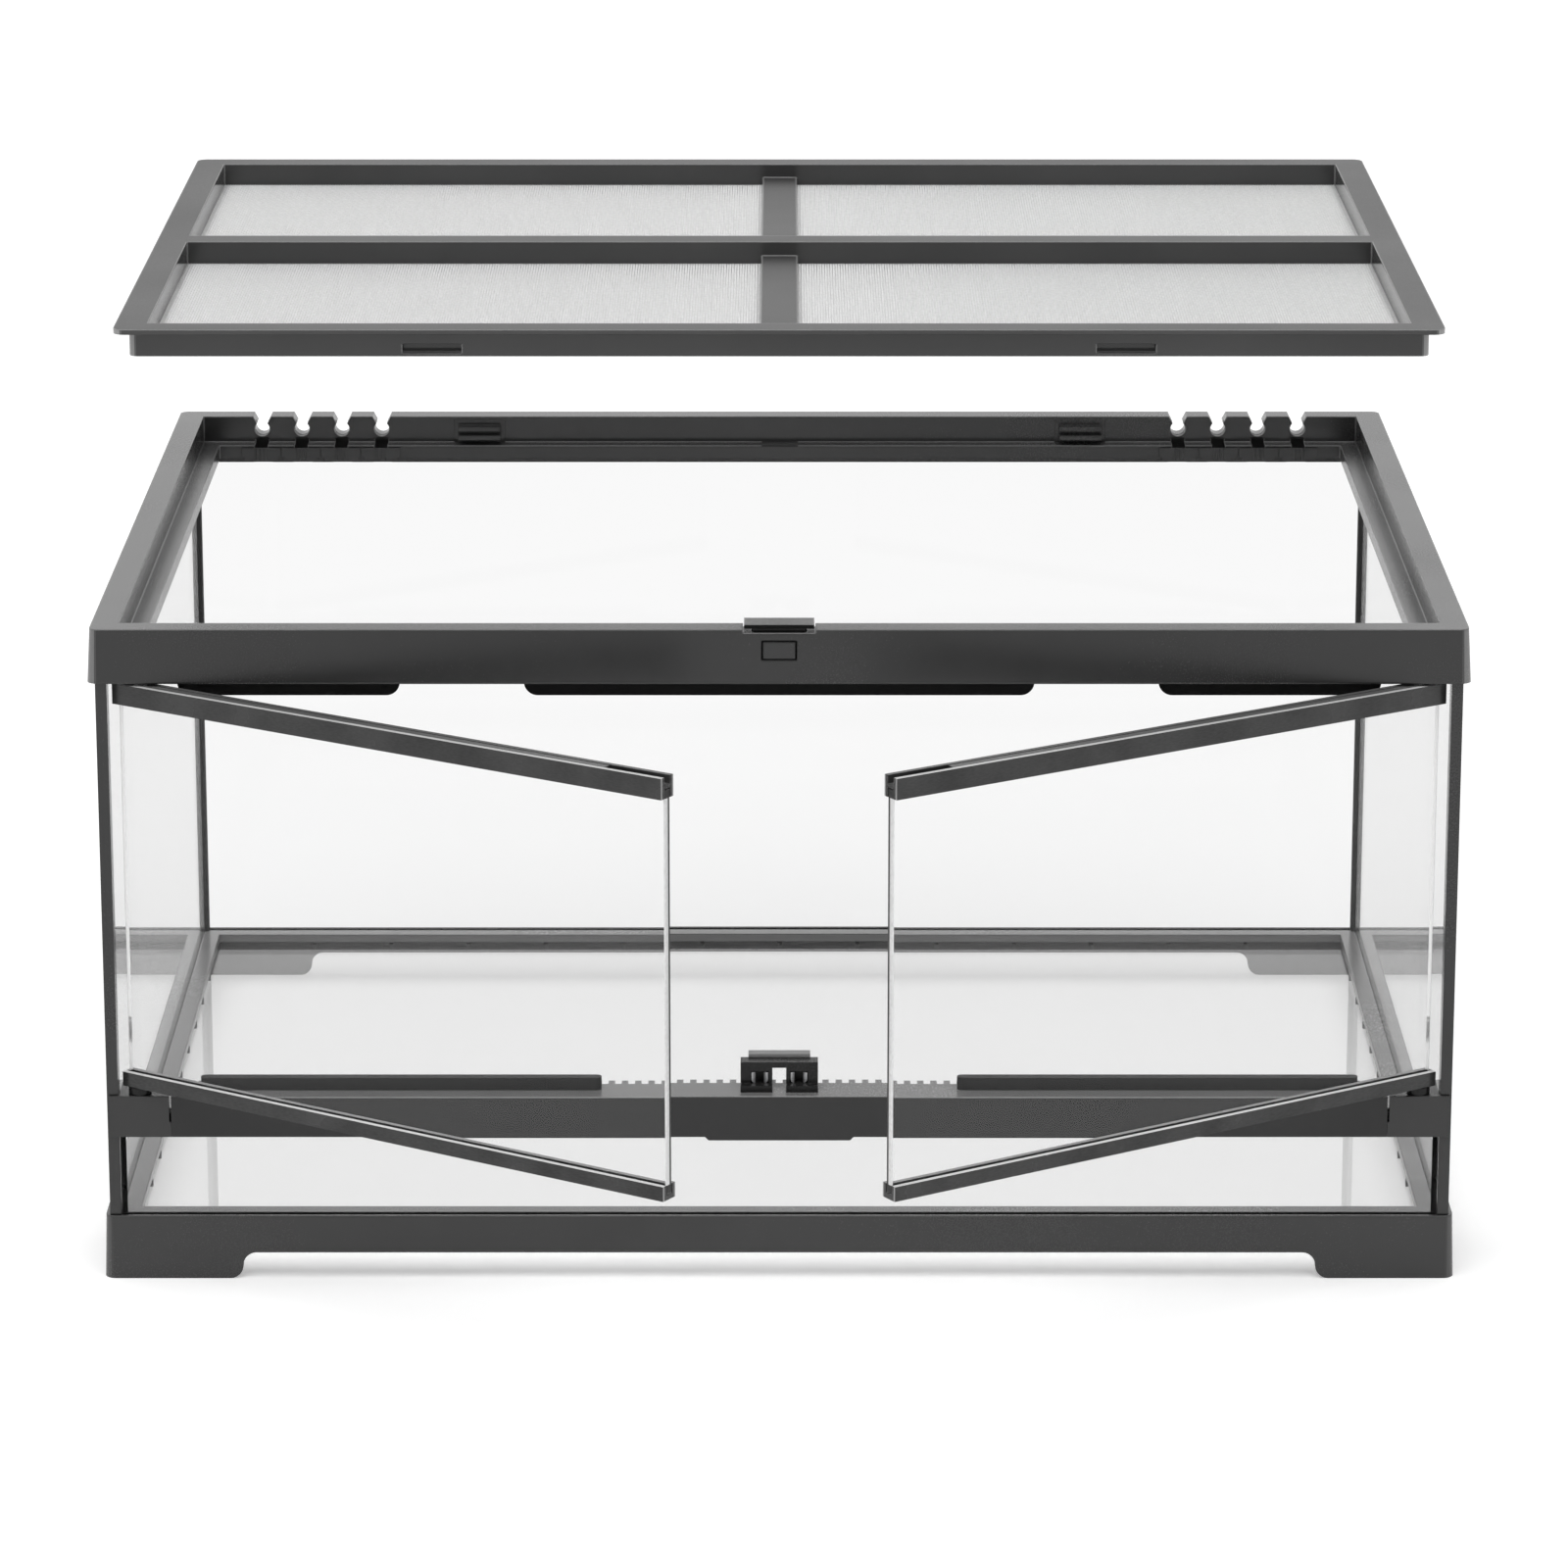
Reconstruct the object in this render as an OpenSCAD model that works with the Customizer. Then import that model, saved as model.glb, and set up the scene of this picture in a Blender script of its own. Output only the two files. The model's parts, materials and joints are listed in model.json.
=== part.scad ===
// Front-opening glass terrarium with a lift-off screen lid.
// Millimetres. X runs to the right, Y to the back and Z up. The origin is on the
// floor, under the middle of the tank. The doors stand open and the lid is
// held above its seat.

/* [Tank] */
// Width across the rim of the top frame
tank_w = 600; // [480:10:900]
// Depth across the rim of the top frame
tank_d = 450; // [380:10:600]
// Height of the rim above the floor
tank_h = 298; // [240:1:500]
// Distance from the rim's outside to the panes' outside
pane_inset = 2; // [1.6:0.1:3]
// Thickness of the tank's panes
glass_t = 5; // [4:0.5:6]
// Clearance round a pane in its groove
pane_play = 0.1; // [0.05:0.05:0.3]
// Width of the silicone beads
bead_w = 2.6; // [2:0.1:4]

/* [Base frame] */
// Height of the base frame
base_h = 29; // [26:0.5:45]
// How much wider the base is at the floor, on each side
base_flare = 1; // [0:0.1:2]
// Outer corner radius of both frames
corner_r = 4; // [2:0.5:8]
// Thickness of the skirt
skirt_t = 2.4; // [2:0.1:4]
// Width of the flange inside the panes
flange_w = 8; // [6:0.5:12]
// Thickness of the flange over the bottom pane
flange_t = 4; // [2:0.5:6]
// Thickness of the web between the panes' groove and the bottom pane
web_t = 1.6; // [1.2:0.1:2.4]
// Thickness of the groove's floor
groove_floor_t = 3; // [2:0.5:4]
// Length of a foot along the skirt
foot_w = 56; // [40:1:80]
// Height of the feet
foot_h = 12; // [8:0.5:14]
// Spacing of the tabs that carry the bottom pane
tab_pitch = 39.5; // [25:0.5:60]
// Width of one of those tabs
tab_w = 2; // [1.5:0.1:4]

/* [Top frame] */
// Height of the top frame
frame_h = 24; // [20:0.5:34]
// How much wider the top frame is at its lower edge, on each side
frame_flare = 1.4; // [0:0.1:2]
// Width of the rim
rim_w = 12; // [11:0.5:16]
// Thickness of the rim's top and front walls
rim_t = 2.4; // [1.8:0.1:3]
// Width of the ledge that carries the lid
ledge_w = 8.4; // [7.5:0.1:14]
// Thickness of the ledge
ledge_t = 2; // [1.5:0.1:3]
// Depth of the lip on the ledge's inner edge
lip_h = 7; // [4:0.5:9]
// Thickness of that lip and of the groove's inner wall
lip_t = 1.6; // [1.2:0.1:2.4]
// How far the door stops hang below the frame
stop_drop = 8; // [5:0.5:12]
// Thickness of the hanging door stops
stop_t = 2; // [1.5:0.1:3]
// Radius of the door stops' lower corners
stop_r = 6; // [2:0.5:8]
// Half length of the middle door stop
stop_mid = 111.5; // [60:0.5:150]
// Inner end of each outer door stop
stop_in = 165.7; // [160:0.5:200]
// Outer end of each outer door stop, from the rim's outside
stop_end = 37; // [30:0.5:60]

/* [Cable inlets] */
// Inlets on each side
inlet_count = 4; // [1:1:4]
// Distance from the rim's outside to the outermost inlet
inlet_edge = 41.3; // [36:0.5:60]
// Spacing of the inlets
inlet_pitch = 19.9; // [16:0.1:24]
// Diameter of an inlet
inlet_d = 7.4; // [5:0.1:8]
// Depth of the inlets' centres below the rim
inlet_drop = 6.2; // [5.5:0.1:7.5]
// Width of the neck above an inlet
neck_w = 5; // [3:0.1:6]
// Width of the mouth at the rim
mouth_w = 9; // [7:0.1:12]
// Depth of the flared mouth
mouth_h = 3.8; // [2.5:0.1:4.5]
// Width of a shutter's plate
shutter_w = 9; // [8:0.1:11]
// Thickness of a shutter's plate
shutter_t = 1.4; // [1:0.1:1.8]
// Thickness of the rim's wall in front of a shutter
shutter_wall_t = 2; // [1.6:0.1:2.4]
// Clearance round a shutter
shutter_play = 0.2; // [0.15:0.05:0.4]
// Width of a shutter's neck
shutter_neck_w = 5.6; // [3:0.1:6]
// Height of a shutter's neck
shutter_neck_h = 1.6; // [1.2:0.1:2]
// Height of a shutter's finger grip
grip_h = 6.5; // [4:0.5:6.5]
// Thickness of that grip
grip_t = 1.4; // [1.2:0.1:1.8]
// Gap between the grips of two shutters
grip_gap = 0.5; // [0.3:0.1:2]
// Width of the notches in a grip's lower corners
grip_notch_w = 1.5; // [0.5:0.1:3]
// Height of those notches
grip_notch_h = 1.8; // [0.5:0.1:3]
// Height of a shutter's lower edge above the frame's
shutter_rise = 3.6; // [2:0.1:3.8]
// Spacing of the three ribs on a grip
grip_rib_pitch = 2; // [1.4:0.1:3]
// How far those ribs stand out
grip_rib_t = 0.4; // [0.2:0.1:0.6]
// Travel of a shutter
shutter_travel = 7.4; // [6:0.1:8]

/* [Lid] */
// Height at which the lid is held above its seat
lid_lift = 130; // [60:1:300]
// Gap between the lid and the rim
lid_gap = 0.65; // [0.4:0.05:1.2]
// Height of the lid, and depth of its seat below the rim
lid_h = 13; // [11:0.5:16]
// Thickness of the lid's top
lid_t = 2.3; // [1.6:0.1:3]
// Width of the lid's rails
rail_w = 14; // [12.5:0.5:20]
// Distance from the lid's edge to its skirt
skirt_inset = 6.3; // [5.5:0.1:6.8]
// Thickness of the lid's skirt
lid_skirt_t = 2; // [1.4:0.1:2.4]
// Thickness of the lid's inner walls
lid_wall_t = 1.6; // [1.2:0.1:2.4]
// Width of the bar from side to side
cross_bar_w = 15; // [10:0.5:24]
// Width of the bars from front to back
long_bar_w = 16.3; // [10:0.1:24]
// Depth of those bars' tops below the lid's top
long_bar_drop = 6.7; // [4:0.1:8]
// Depth of the mesh below the lid's top
mesh_drop = 10.6; // [9.5:0.1:11]
// Thickness of the woven mesh
mesh_t = 0.6; // [0.4:0.1:1]
// Openings that stand for the weave, across each window
mesh_cols = 12; // [6:1:12]
// Openings from front to back of each window
mesh_rows = 8; // [4:1:10]
// Width of the mesh that is left between two openings
mesh_land = 3; // [2:0.5:6]
// Width of the flange under the mesh
mesh_flange = 2; // [1.5:0.5:4]
// Thickness of that flange
mesh_flange_t = 1.2; // [0.8:0.1:1.6]
// Corner radius of the lid's top
lid_r = 5; // [3:0.5:8]
// Distance of the hooks and slots from the middle
hook_x = 150; // [60:1:165]
// Width of a hook
hook_w = 21; // [12:0.5:26]
// Thickness of a hook
hook_t = 3; // [2:0.1:3.4]
// Depth of a hook's foot in the rim
hook_foot_d = 2; // [1.5:0.1:2.4]
// How far a hook reaches into the lid's skirt
hook_reach = 1.7; // [1:0.1:1.9]
// Thickness of the bar over a hook
hook_bar_t = 2.2; // [1.6:0.1:2.6]
// Height of the bar's top above the hook's lower face
hook_bar_up = 6.8; // [6:0.1:7.2]
// How far a hook's wall plate reaches past the hook at each end
hook_plate_side = 2.2; // [1:0.1:4]
// Depth of the wall plate's upper edge below the rim
hook_plate_drop = 1.4; // [0.8:0.1:3]
// Thickness of the wall plate
hook_plate_t = 0.35; // [0.2:0.05:0.4]
// Height of the skirt that is left under a slot
slot_land = 1.3; // [1:0.1:2]
// Clearance round a hook in the lid's slot
hook_play = 0.6; // [0.4:0.1:1]
// Play at the two ends of a hook in the lid's slot
slot_end_play = 2.3; // [1:0.1:4]

/* [Lid latch] */
// Width of the latch's hook
latch_w = 30.6; // [24:0.1:40]
// Thickness of the latch's hook
latch_hook_t = 1.7; // [1.4:0.1:2.4]
// How far the hook reaches over the lid
latch_reach = 1; // [0.6:0.1:1.2]
// Gap under the latch's hook
latch_gap = 0.3; // [0.2:0.1:0.6]
// Distance of the latch's pin from the rim's outside
latch_pin_edge = 5.7; // [5.4:0.1:6]
// Depth of the latch's pin below the rim
latch_pin_drop = 4.5; // [4:0.1:5]
// Length of the latch below the rim
stem_drop = 13.4; // [12:0.1:14]
// Thickness of the rim's wall in front of the latch
latch_wall_t = 2; // [1.6:0.1:2.2]
// Depth of the latch's pocket
latch_room = 8.2; // [8:0.1:8.6]
// Clearance round the latch
latch_play = 0.5; // [0.3:0.1:0.6]
// Width of the latch's stem
stem_w = 23; // [18:0.5:24]
// Thickness of the latch's stem
stem_t = 4.6; // [4.2:0.1:5]
// Width of the push button
button_w = 14.4; // [10:0.1:18]
// How far the push button stands out of the rim
button_proud = 0.5; // [0.2:0.1:1]
// Height of the push button
button_h = 7.8; // [6:0.1:8.4]
// Gap round the push button
button_gap = 0.4; // [0.2:0.1:0.8]
// Diameter of the latch's pin
latch_pin_d = 2; // [1.6:0.1:2.4]
// Clearance of a turning pin in its bore, on the radius
pin_play = 0.05; // [0.02:0.01:0.1]
// Outer diameter of the latch's spring
spring_d = 3.4; // [2.8:0.1:3.6]
// Wire of the latch's spring
spring_wire = 0.5; // [0.4:0.05:0.6]

/* [Front] */
// How far a corner post stands in front of the panes
post_proud = 0.5; // [0.3:0.1:1]
// Depth of a corner post
post_d = 7.5; // [6:0.5:10]
// Top of the sill above the floor
sill_z = 85; // [70:1:110]
// Height of the sill's face
sill_h = 19; // [16:0.5:26]
// Depth of the sill from front to back
sill_d = 24; // [20:0.5:30]
// Thickness of the sill's wall behind the pane
sill_wall_t = 2; // [1.6:0.1:3]
// Thickness of the sill's top at the back
sill_t = 3; // [2:0.5:4]
// Depth of the pane's groove below the sill's top
sill_groove = 8; // [7:0.5:10]
// How far the plain plate in the middle hangs below the sill
plate_drop = 1.6; // [0:0.1:3]
// Half width of that plate
plate_half = 33; // [20:0.5:50]
// Distance from the rim's outside to the slit between sill and end bracket
bracket_w = 30; // [26:0.5:40]
// Distance from the rim's outside to the bracket's outer end
bracket_end = 3; // [2.5:0.1:5]
// Width of that slit
slit = 0.9; // [0.5:0.1:1.5]
// Height of the bracket's foot, which closes the slit's lower end
slit_foot = 7; // [4:0.5:9]
// How far the bracket's rear wall reaches past the slit
tongue = 3; // [1.5:0.5:6]
// Spacing of the teeth on the sill's rear edge
tooth_pitch = 5.9; // [4:0.1:10]
// Depth of the gaps between the teeth
tooth_d = 4.8; // [2:0.1:6]
// Height of the door seals
seal_h = 5.8; // [4.5:0.1:8]
// Depth of the door seals
seal_d = 5; // [3:0.5:6]
// Inner end of each door seal
seal_in = 78; // [40:1:100]
// Outer end of each door seal, from the rim's outside
seal_end = 44; // [34:1:60]

/* [Doors] */
// Angle at which the doors stand open
door_angle = 33; // [5:1:80]
// Thickness of the doors' panes
door_glass_t = 4; // [3:0.5:5]
// Thickness of the doors' rails
door_rail_t = 9; // [7:0.1:9.4]
// Height of the bottom rail
low_rail_h = 6.5; // [6:0.1:9]
// Height of the top rail
top_rail_h = 9.2; // [8:0.1:12]
// Depth of the pane in a rail
rail_grip = 4.2; // [3:0.1:5]
// Height of the channel in the top rail
channel_h = 3.4; // [2:0.1:4]
// Length of that channel left open at the free end
channel_open = 30; // [15:1:60]
// How much taller the top rail's rear wall is
rear_wall_up = 0.2; // [0:0.1:0.8]
// Gap between the top rail and the frame
door_top_gap = 1.2; // [1:0.1:3]
// Gap between the bottom rail and the sill
door_low_gap = 3.5; // [3.2:0.1:5]
// Gap between the two doors
door_mid_gap = 1; // [0.6:0.1:2]
// Distance of the doors' backs from the rim's outside
door_back = 9.7; // [9.2:0.1:10.5]
// Gap between the doors' backs and their stops
door_stop_gap = 0.3; // [0.2:0.1:0.6]
// Distance of the pivots from the rim's outside
pivot_edge = 16.5; // [15.5:0.1:20]
// Length of a rail beyond its pivot
pivot_tail = 6; // [5:0.1:7]
// Thickness of the wall at a rail's outer end
rail_end_t = 1.5; // [1:0.1:2.5]
// Length of the top rail's solid block round its pin
block_l = 12; // [10:0.5:16]
// Diameter of the pivot pins
pivot_d = 4; // [3:0.1:4.2]
// Diameter of the collar on the lower pivot
collar_d = 10.2; // [7:0.1:12]
// Depth of a pivot pin in the sill and in the frame
pivot_depth = 5.5; // [4:0.1:6]

/* [Door catch] */
// Half width of the catch's housing
catch_half = 17.2; // [15:0.1:24]
// Height of the housing above the sill
catch_h = 12.5; // [11:0.1:16]
// Depth of the housing behind the doors
catch_d = 8; // [7:0.1:10]
// Height of the housing's foot under the doors
catch_foot_h = 2.9; // [2:0.1:3]
// How far that foot reaches to the front of the housing
catch_foot_d = 4.5; // [2:0.1:6]
// Half width of the window for a padlock
lock_half = 3.05; // [2.2:0.05:3.4]
// Height of that window
lock_h = 10; // [6:0.1:10]
// Distance of the two pockets from the middle
pocket_x = 8.7; // [8.4:0.1:11]
// Width of a pocket
pocket_w = 8; // [7:0.1:9]
// Height of a pocket
pocket_h = 5.6; // [5:0.1:6.5]
// Width of the stud on each door
stud_w = 3.2; // [2:0.1:3.4]
// Height of that stud
stud_h = 2.4; // [1.8:0.1:3]
// Length of that stud
stud_d = 3.2; // [2:0.1:3.8]
// Height of the stud above the rail's lower edge
stud_rise = 0.8; // [0.4:0.1:1.2]
// Thickness of the plate behind the catch
backplate_t = 1.6; // [1.2:0.1:2]
// Depth of that plate's top
backplate_d = 5.6; // [4:0.1:8]
// Thickness of that plate's top
backplate_top_t = 1.4; // [1:0.1:2]
// Thickness of a spring clip's jaws
jaw_t = 1; // [0.6:0.1:1.2]
// Clearance between a stud and the jaws
jaw_play = 0.25; // [0.15:0.05:0.5]

/* [Hidden] */
$fn = 48;
hull_fn = 32;        // facets of the rounded shapes that no fit depends on
eps = 0.01;          // how far a cut runs past a face
over = 5;            // how far a through cut runs past a part
rest_gap = 0.3;      // gap between moving parts that nearly touch
foot_play = 0.2;     // gap at the end of a part in its recess
foot_gap = 0.1;      // gap between the sill's face and the brackets' feet

charcoal = [0.27, 0.27, 0.28];
black = [0.12, 0.12, 0.13];
clear = [0.86, 0.92, 0.92, 0.35];
sealant = [0.2, 0.2, 0.21];
steel = [0.72, 0.73, 0.75];
weave = [0.7, 0.71, 0.73, 0.6];

// panes
rim_x = tank_w / 2;
rim_y = tank_d / 2;
pane_x = rim_x - pane_inset;
pane_y = rim_y - pane_inset;
room_x = pane_x - glass_t;
room_y = pane_y - glass_t;

// base frame
floor_z = base_h - flange_t;
floor_glass_z = floor_z - glass_t;
groove_z = floor_glass_z - groove_floor_t;
floor_x = room_x - web_t;
floor_y = room_y - web_t;
flange_x = room_x - flange_w;
flange_y = room_y - flange_w;

// top frame
frame_z = tank_h - frame_h;
seat_z = tank_h - lid_h;
pane_top = seat_z - ledge_t;
well_x = rim_x - rim_w;
well_y = rim_y - rim_w;
mouth_x = well_x - ledge_w;
mouth_y = well_y - ledge_w;
rim_cap_z = tank_h - rim_t;

// doors
pivot_x = rim_x - pivot_edge;
door_back_y = door_back - rim_y;
pivot_y = door_back_y - door_rail_t / 2;
stop_y = door_back_y + door_stop_gap;
door_z = sill_z + door_low_gap;
door_top = frame_z - door_top_gap;
door_end = pivot_x + pivot_tail;
pane_end = door_end - rail_end_t;
door_free = door_mid_gap / 2;
door_pane_low = door_z + low_rail_h - rail_grip;
door_pane_top = door_top - top_rail_h + rail_grip;
channel_z = door_top - channel_h;
pivot_r = pivot_d / 2;
pin_end_t = 0.4;     // plastic between a pin's end and the pane
boss_half = 8;       // half width of the solid rim round an upper bearing

// front
post_y = -pane_y - post_proud;
post_back = post_y + post_d;
low_pane_top = sill_z - sill_groove;
sill_low = sill_z - sill_h;
bracket_x = rim_x - bracket_w;
sill_back = -rim_y + sill_d;
wall_front = -pane_y - pane_play;
wall_back = -room_y + pane_play;
sill_rear_wall = wall_back + sill_wall_t;

// lid
lid_w = tank_w - 2 * (rim_w + lid_gap);
lid_d = tank_d - 2 * (rim_w + lid_gap);
lid_z = seat_z + lid_lift;
lid_top = lid_z + lid_h;
skirt_x = lid_w / 2 - skirt_inset;
skirt_y = lid_d / 2 - skirt_inset;
window_x = lid_w / 2 - rail_w;
window_y = lid_d / 2 - rail_w;
mesh_z = lid_top - mesh_drop;
mesh_low = mesh_z - mesh_flange_t;
hook_z = seat_z + slot_land + hook_play;

// latch
latch_y = -rim_y + latch_pin_edge;
latch_z = tank_h - latch_pin_drop;
latch_r = latch_pin_d / 2;
latch_low = tank_h + latch_gap;
stem_front = latch_y - stem_t / 2;
stem_back = latch_y + stem_t / 2;
stem_low = tank_h - stem_drop;
latch_front = -rim_y + latch_wall_t;
latch_back = latch_front + latch_room;
latch_half = stem_w / 2 + latch_play;
button_z = stem_low + foot_play;
button_front = -rim_y - button_proud;
button_path_r = norm([button_front - latch_y, button_z - latch_z]) + foot_play;
spring_room = spring_d / 2 + foot_play;
spring_z = stem_low + spring_room + 0.7;
spring_seat = stem_back - stem_t / 2 - rest_gap;
spring_play = 0.05;
hook_notch = 1.5;
hook_front = -rim_y + 0.4;

// door catch
catch_y = stop_y;
catch_back = catch_y + catch_d;
pocket_low = sill_z + catch_foot_h - rest_gap;
pocket_d = catch_d - 1.5;
clip_front = 0.4;
clip_d = pocket_d - rest_gap;
clip_h = pocket_h - 2 * rest_gap;
stud_z = door_z + stud_rise;
plate_back = catch_back + backplate_t;

// cable inlets
inlet_z = tank_h - inlet_drop;
inlet_r = inlet_d / 2;
slot_front = well_y + shutter_wall_t;
shutter_front = slot_front + shutter_play;
shutter_back = shutter_front + shutter_t;
slot_back = shutter_back + shutter_play;
shutter_top = inlet_z - inlet_r - shutter_play;
shutter_low = frame_z + shutter_rise;
slit_top = shutter_low + shutter_neck_h + shutter_travel + rest_gap;
grip_back = min(mouth_y - 2 * shutter_play, skirt_y - lid_skirt_t - shutter_play);
neck_slit_half = shutter_neck_w / 2 + 2 * shutter_play;
inlet_sides = ["left", "right"];

// ---------- helpers ----------

// A box between its lowest and highest corners
module block(low, high) {
    translate(low) cube(high - low);
}

// The same shape on the right side, or mirrored to the left
module on_side(side) {
    if (side < 0) mirror([1, 0, 0]) children();
    else children();
}

// A block centred on Z whose sides lean out towards the bottom
module drafted_block(half_x, half_y, h, r, flare) {
    hull()
        for (sx = [-1, 1], sy = [-1, 1])
            translate([sx * (half_x - r), sy * (half_y - r), 0])
                cylinder(r1 = r + flare, r2 = r, h = h, $fn = hull_fn);
}

// A rectangular ring between two pairs of half sizes
module ring(out_x, out_y, in_x, in_y, low, high) {
    difference() {
        block([-out_x, -out_y, low], [out_x, out_y, high]);
        block([-in_x, -in_y, low - eps], [in_x, in_y, high + eps]);
    }
}

// A bar with round ends, along X
module round_bar(x_low, x_high, y_low, y_high, low, high) {
    r = (y_high - y_low) / 2;
    block([x_low + r, y_low, low], [x_high - r, y_high, high]);
    for (x = [x_low + r, x_high - r])
        translate([x, y_low + r, low]) cylinder(r = r, h = high - low);
}

// A cylinder along Y
module rod_y(r, y_low, y_high) {
    translate([0, y_high, 0]) rotate([90, 0, 0]) cylinder(r = r, h = y_high - y_low);
}

// ---------- base frame ----------

// The outline between two feet: a straight soffit that runs down to each foot in an S
module foot_arch(span) {
    r = foot_h / 2;
    top_half = span / 2 - 2 * r;
    translate([-top_half, -over]) square([2 * top_half, foot_h + over]);
    for (side = [-1, 1]) {
        translate([side * top_half, r]) circle(r = r);
        difference() {
            translate([side > 0 ? top_half : -span / 2 - eps, -over])
                square([2 * r + eps, r + over]);
            translate([side * span / 2, r]) circle(r = r);
        }
    }
}

module base_frame() {
    arch_x = 2 * (rim_x + base_flare - foot_w);
    arch_y = 2 * (rim_y + base_flare - foot_w);
    tabs_x = floor(flange_x / tab_pitch - 0.5);
    tabs_y = floor(flange_y / tab_pitch - 0.5);
    color(charcoal) {
        difference() {
            drafted_block(rim_x, rim_y, base_h, corner_r, base_flare);
            // the opening over the bottom pane, and the pane's seat
            block([-flange_x, -flange_y, -over], [flange_x, flange_y, base_h + over]);
            block([-floor_x, -floor_y, -over], [floor_x, floor_y, floor_z]);
            // the hollow behind the skirt
            ring(rim_x - skirt_t, rim_y - skirt_t, floor_x - eps, floor_y - eps,
                -over, groove_z);
            // the groove for the standing panes
            ring(pane_x + pane_play, pane_y + pane_play, room_x, room_y,
                floor_glass_z, base_h + over);
            // the arches between the feet
            translate([0, rim_y + over, 0]) rotate([90, 0, 0])
                linear_extrude(2 * (rim_y + over)) foot_arch(arch_x);
            translate([-rim_x - over, 0, 0]) rotate([90, 0, 90])
                linear_extrude(2 * (rim_x + over)) foot_arch(arch_y);
        }
        // the tabs under the bottom pane
        for (i = [-tabs_x:tabs_x], sy = [-1, 1])
            translate([i * tab_pitch - tab_w / 2,
                sy > 0 ? flange_y : -floor_y - web_t, groove_z])
                cube([tab_w, floor_y + web_t - flange_y, groove_floor_t]);
        for (i = [-tabs_y:tabs_y], sx = [-1, 1])
            translate([sx > 0 ? flange_x : -floor_x - web_t,
                i * tab_pitch - tab_w / 2, groove_z])
                cube([floor_x + web_t - flange_x, tab_w, groove_floor_t]);
    }
}

// ---------- glass and silicone ----------

module bottom_glass() {
    color(clear)
        block([-floor_x + pane_play, -floor_y + pane_play, floor_glass_z],
            [floor_x - pane_play, floor_y - pane_play, floor_z]);
}

module back_glass() {
    color(clear)
        block([-pane_x, room_y, floor_glass_z], [pane_x, pane_y, pane_top]);
}

module side_glass(side) {
    color(clear) on_side(side)
        block([room_x, post_back, floor_glass_z], [pane_x, room_y, pane_top]);
}

module front_lower_glass() {
    color(clear)
        block([-room_x + pane_play, -pane_y, floor_glass_z],
            [room_x - pane_play, -room_y, low_pane_top]);
}

// The quarter-round bead of sealant in an upright inner corner
module corner_bead(y, facing, low, high) {
    intersection() {
        translate([room_x, y, low]) cylinder(r = bead_w, h = high - low);
        block([room_x - bead_w, facing > 0 ? y : y - bead_w, low],
            [room_x, facing > 0 ? y + bead_w : y, high]);
    }
}

module rear_silicone(side) {
    color(sealant) on_side(side)
        corner_bead(room_y, -1, base_h, frame_z);
}

module front_silicone(side) {
    color(sealant) on_side(side)
        corner_bead(-room_y, 1, base_h, sill_low);
}

// ---------- front posts and sill ----------

module front_post(side) {
    color(charcoal) on_side(side)
        difference() {
            block([room_x, post_y, floor_glass_z], [pane_x, post_back, pane_top]);
            // the steps at the ends, behind the two frames' walls
            block([room_x - eps, post_y - eps, floor_glass_z - eps],
                [pane_x + eps, -pane_y, base_h + foot_play]);
            block([room_x - eps, post_y - eps, frame_z - foot_play],
                [pane_x + eps, -pane_y, pane_top + eps]);
        }
}

// The sill's section between two distances from the middle, over the lower pane
module sill_bar(x_low, x_high) {
    difference() {
        union() {
            block([x_low, -rim_y, sill_low], [x_high, sill_rear_wall, sill_z]);
            block([x_low, sill_rear_wall - eps, sill_z - sill_t],
                [x_high, sill_back, sill_z]);
        }
        block([x_low - eps, wall_front, sill_low - eps],
            [x_high + eps, wall_back, low_pane_top]);
    }
}

module sill() {
    end = bracket_x - slit / 2;
    teeth = floor((end - tooth_pitch) / tooth_pitch);
    color(charcoal) difference() {
        union() {
            sill_bar(-end, end);
            // the plain plate in the middle of the face
            translate([0, wall_front, 0]) rotate([90, 0, 0])
                linear_extrude(rim_y + wall_front)
                    polygon([[-plate_half, sill_low + eps],
                        [-plate_half + plate_drop, sill_low - plate_drop],
                        [plate_half - plate_drop, sill_low - plate_drop],
                        [plate_half, sill_low + eps]]);
        }
        for (i = [-teeth:teeth])
            block([i * tooth_pitch - tooth_pitch / 4, sill_back - tooth_d,
                sill_z - sill_t - eps],
                [i * tooth_pitch + tooth_pitch / 4, sill_back + eps, sill_z + eps]);
        // the gaps in the rear wall for the brackets' tongues
        for (side = [-1, 1])
            on_side(side)
                block([end - tongue - rest_gap, wall_back - eps, sill_low - eps],
                    [end + eps, sill_rear_wall + eps, low_pane_top]);
    }
}

module sill_bracket(side) {
    inner = bracket_x + slit / 2;
    color(charcoal) on_side(side)
        difference() {
            union() {
                sill_bar(inner, rim_x - bracket_end);
                // the foot and the tongue, which close the slit
                block([inner - slit + foot_gap, -rim_y, sill_low],
                    [inner + eps, wall_front, sill_low + slit_foot]);
                block([inner - slit - tongue, wall_back, sill_low],
                    [inner + eps, sill_rear_wall, low_pane_top - rest_gap]);
            }
            // the post and the side pane stand in the bracket's end
            block([room_x - pane_play, post_y - pane_play, sill_low - eps],
                [rim_x, sill_back + eps, sill_z + eps]);
            translate([pivot_x, pivot_y, sill_z - pivot_depth - rest_gap])
                cylinder(r = pivot_r + pin_play, h = pivot_depth + over);
        }
}

module door_seal(side) {
    color(black) on_side(side)
        round_bar(seal_in, rim_x - seal_end, stop_y, stop_y + seal_d,
            sill_z, sill_z + seal_h);
}

// ---------- door catch ----------

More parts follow.
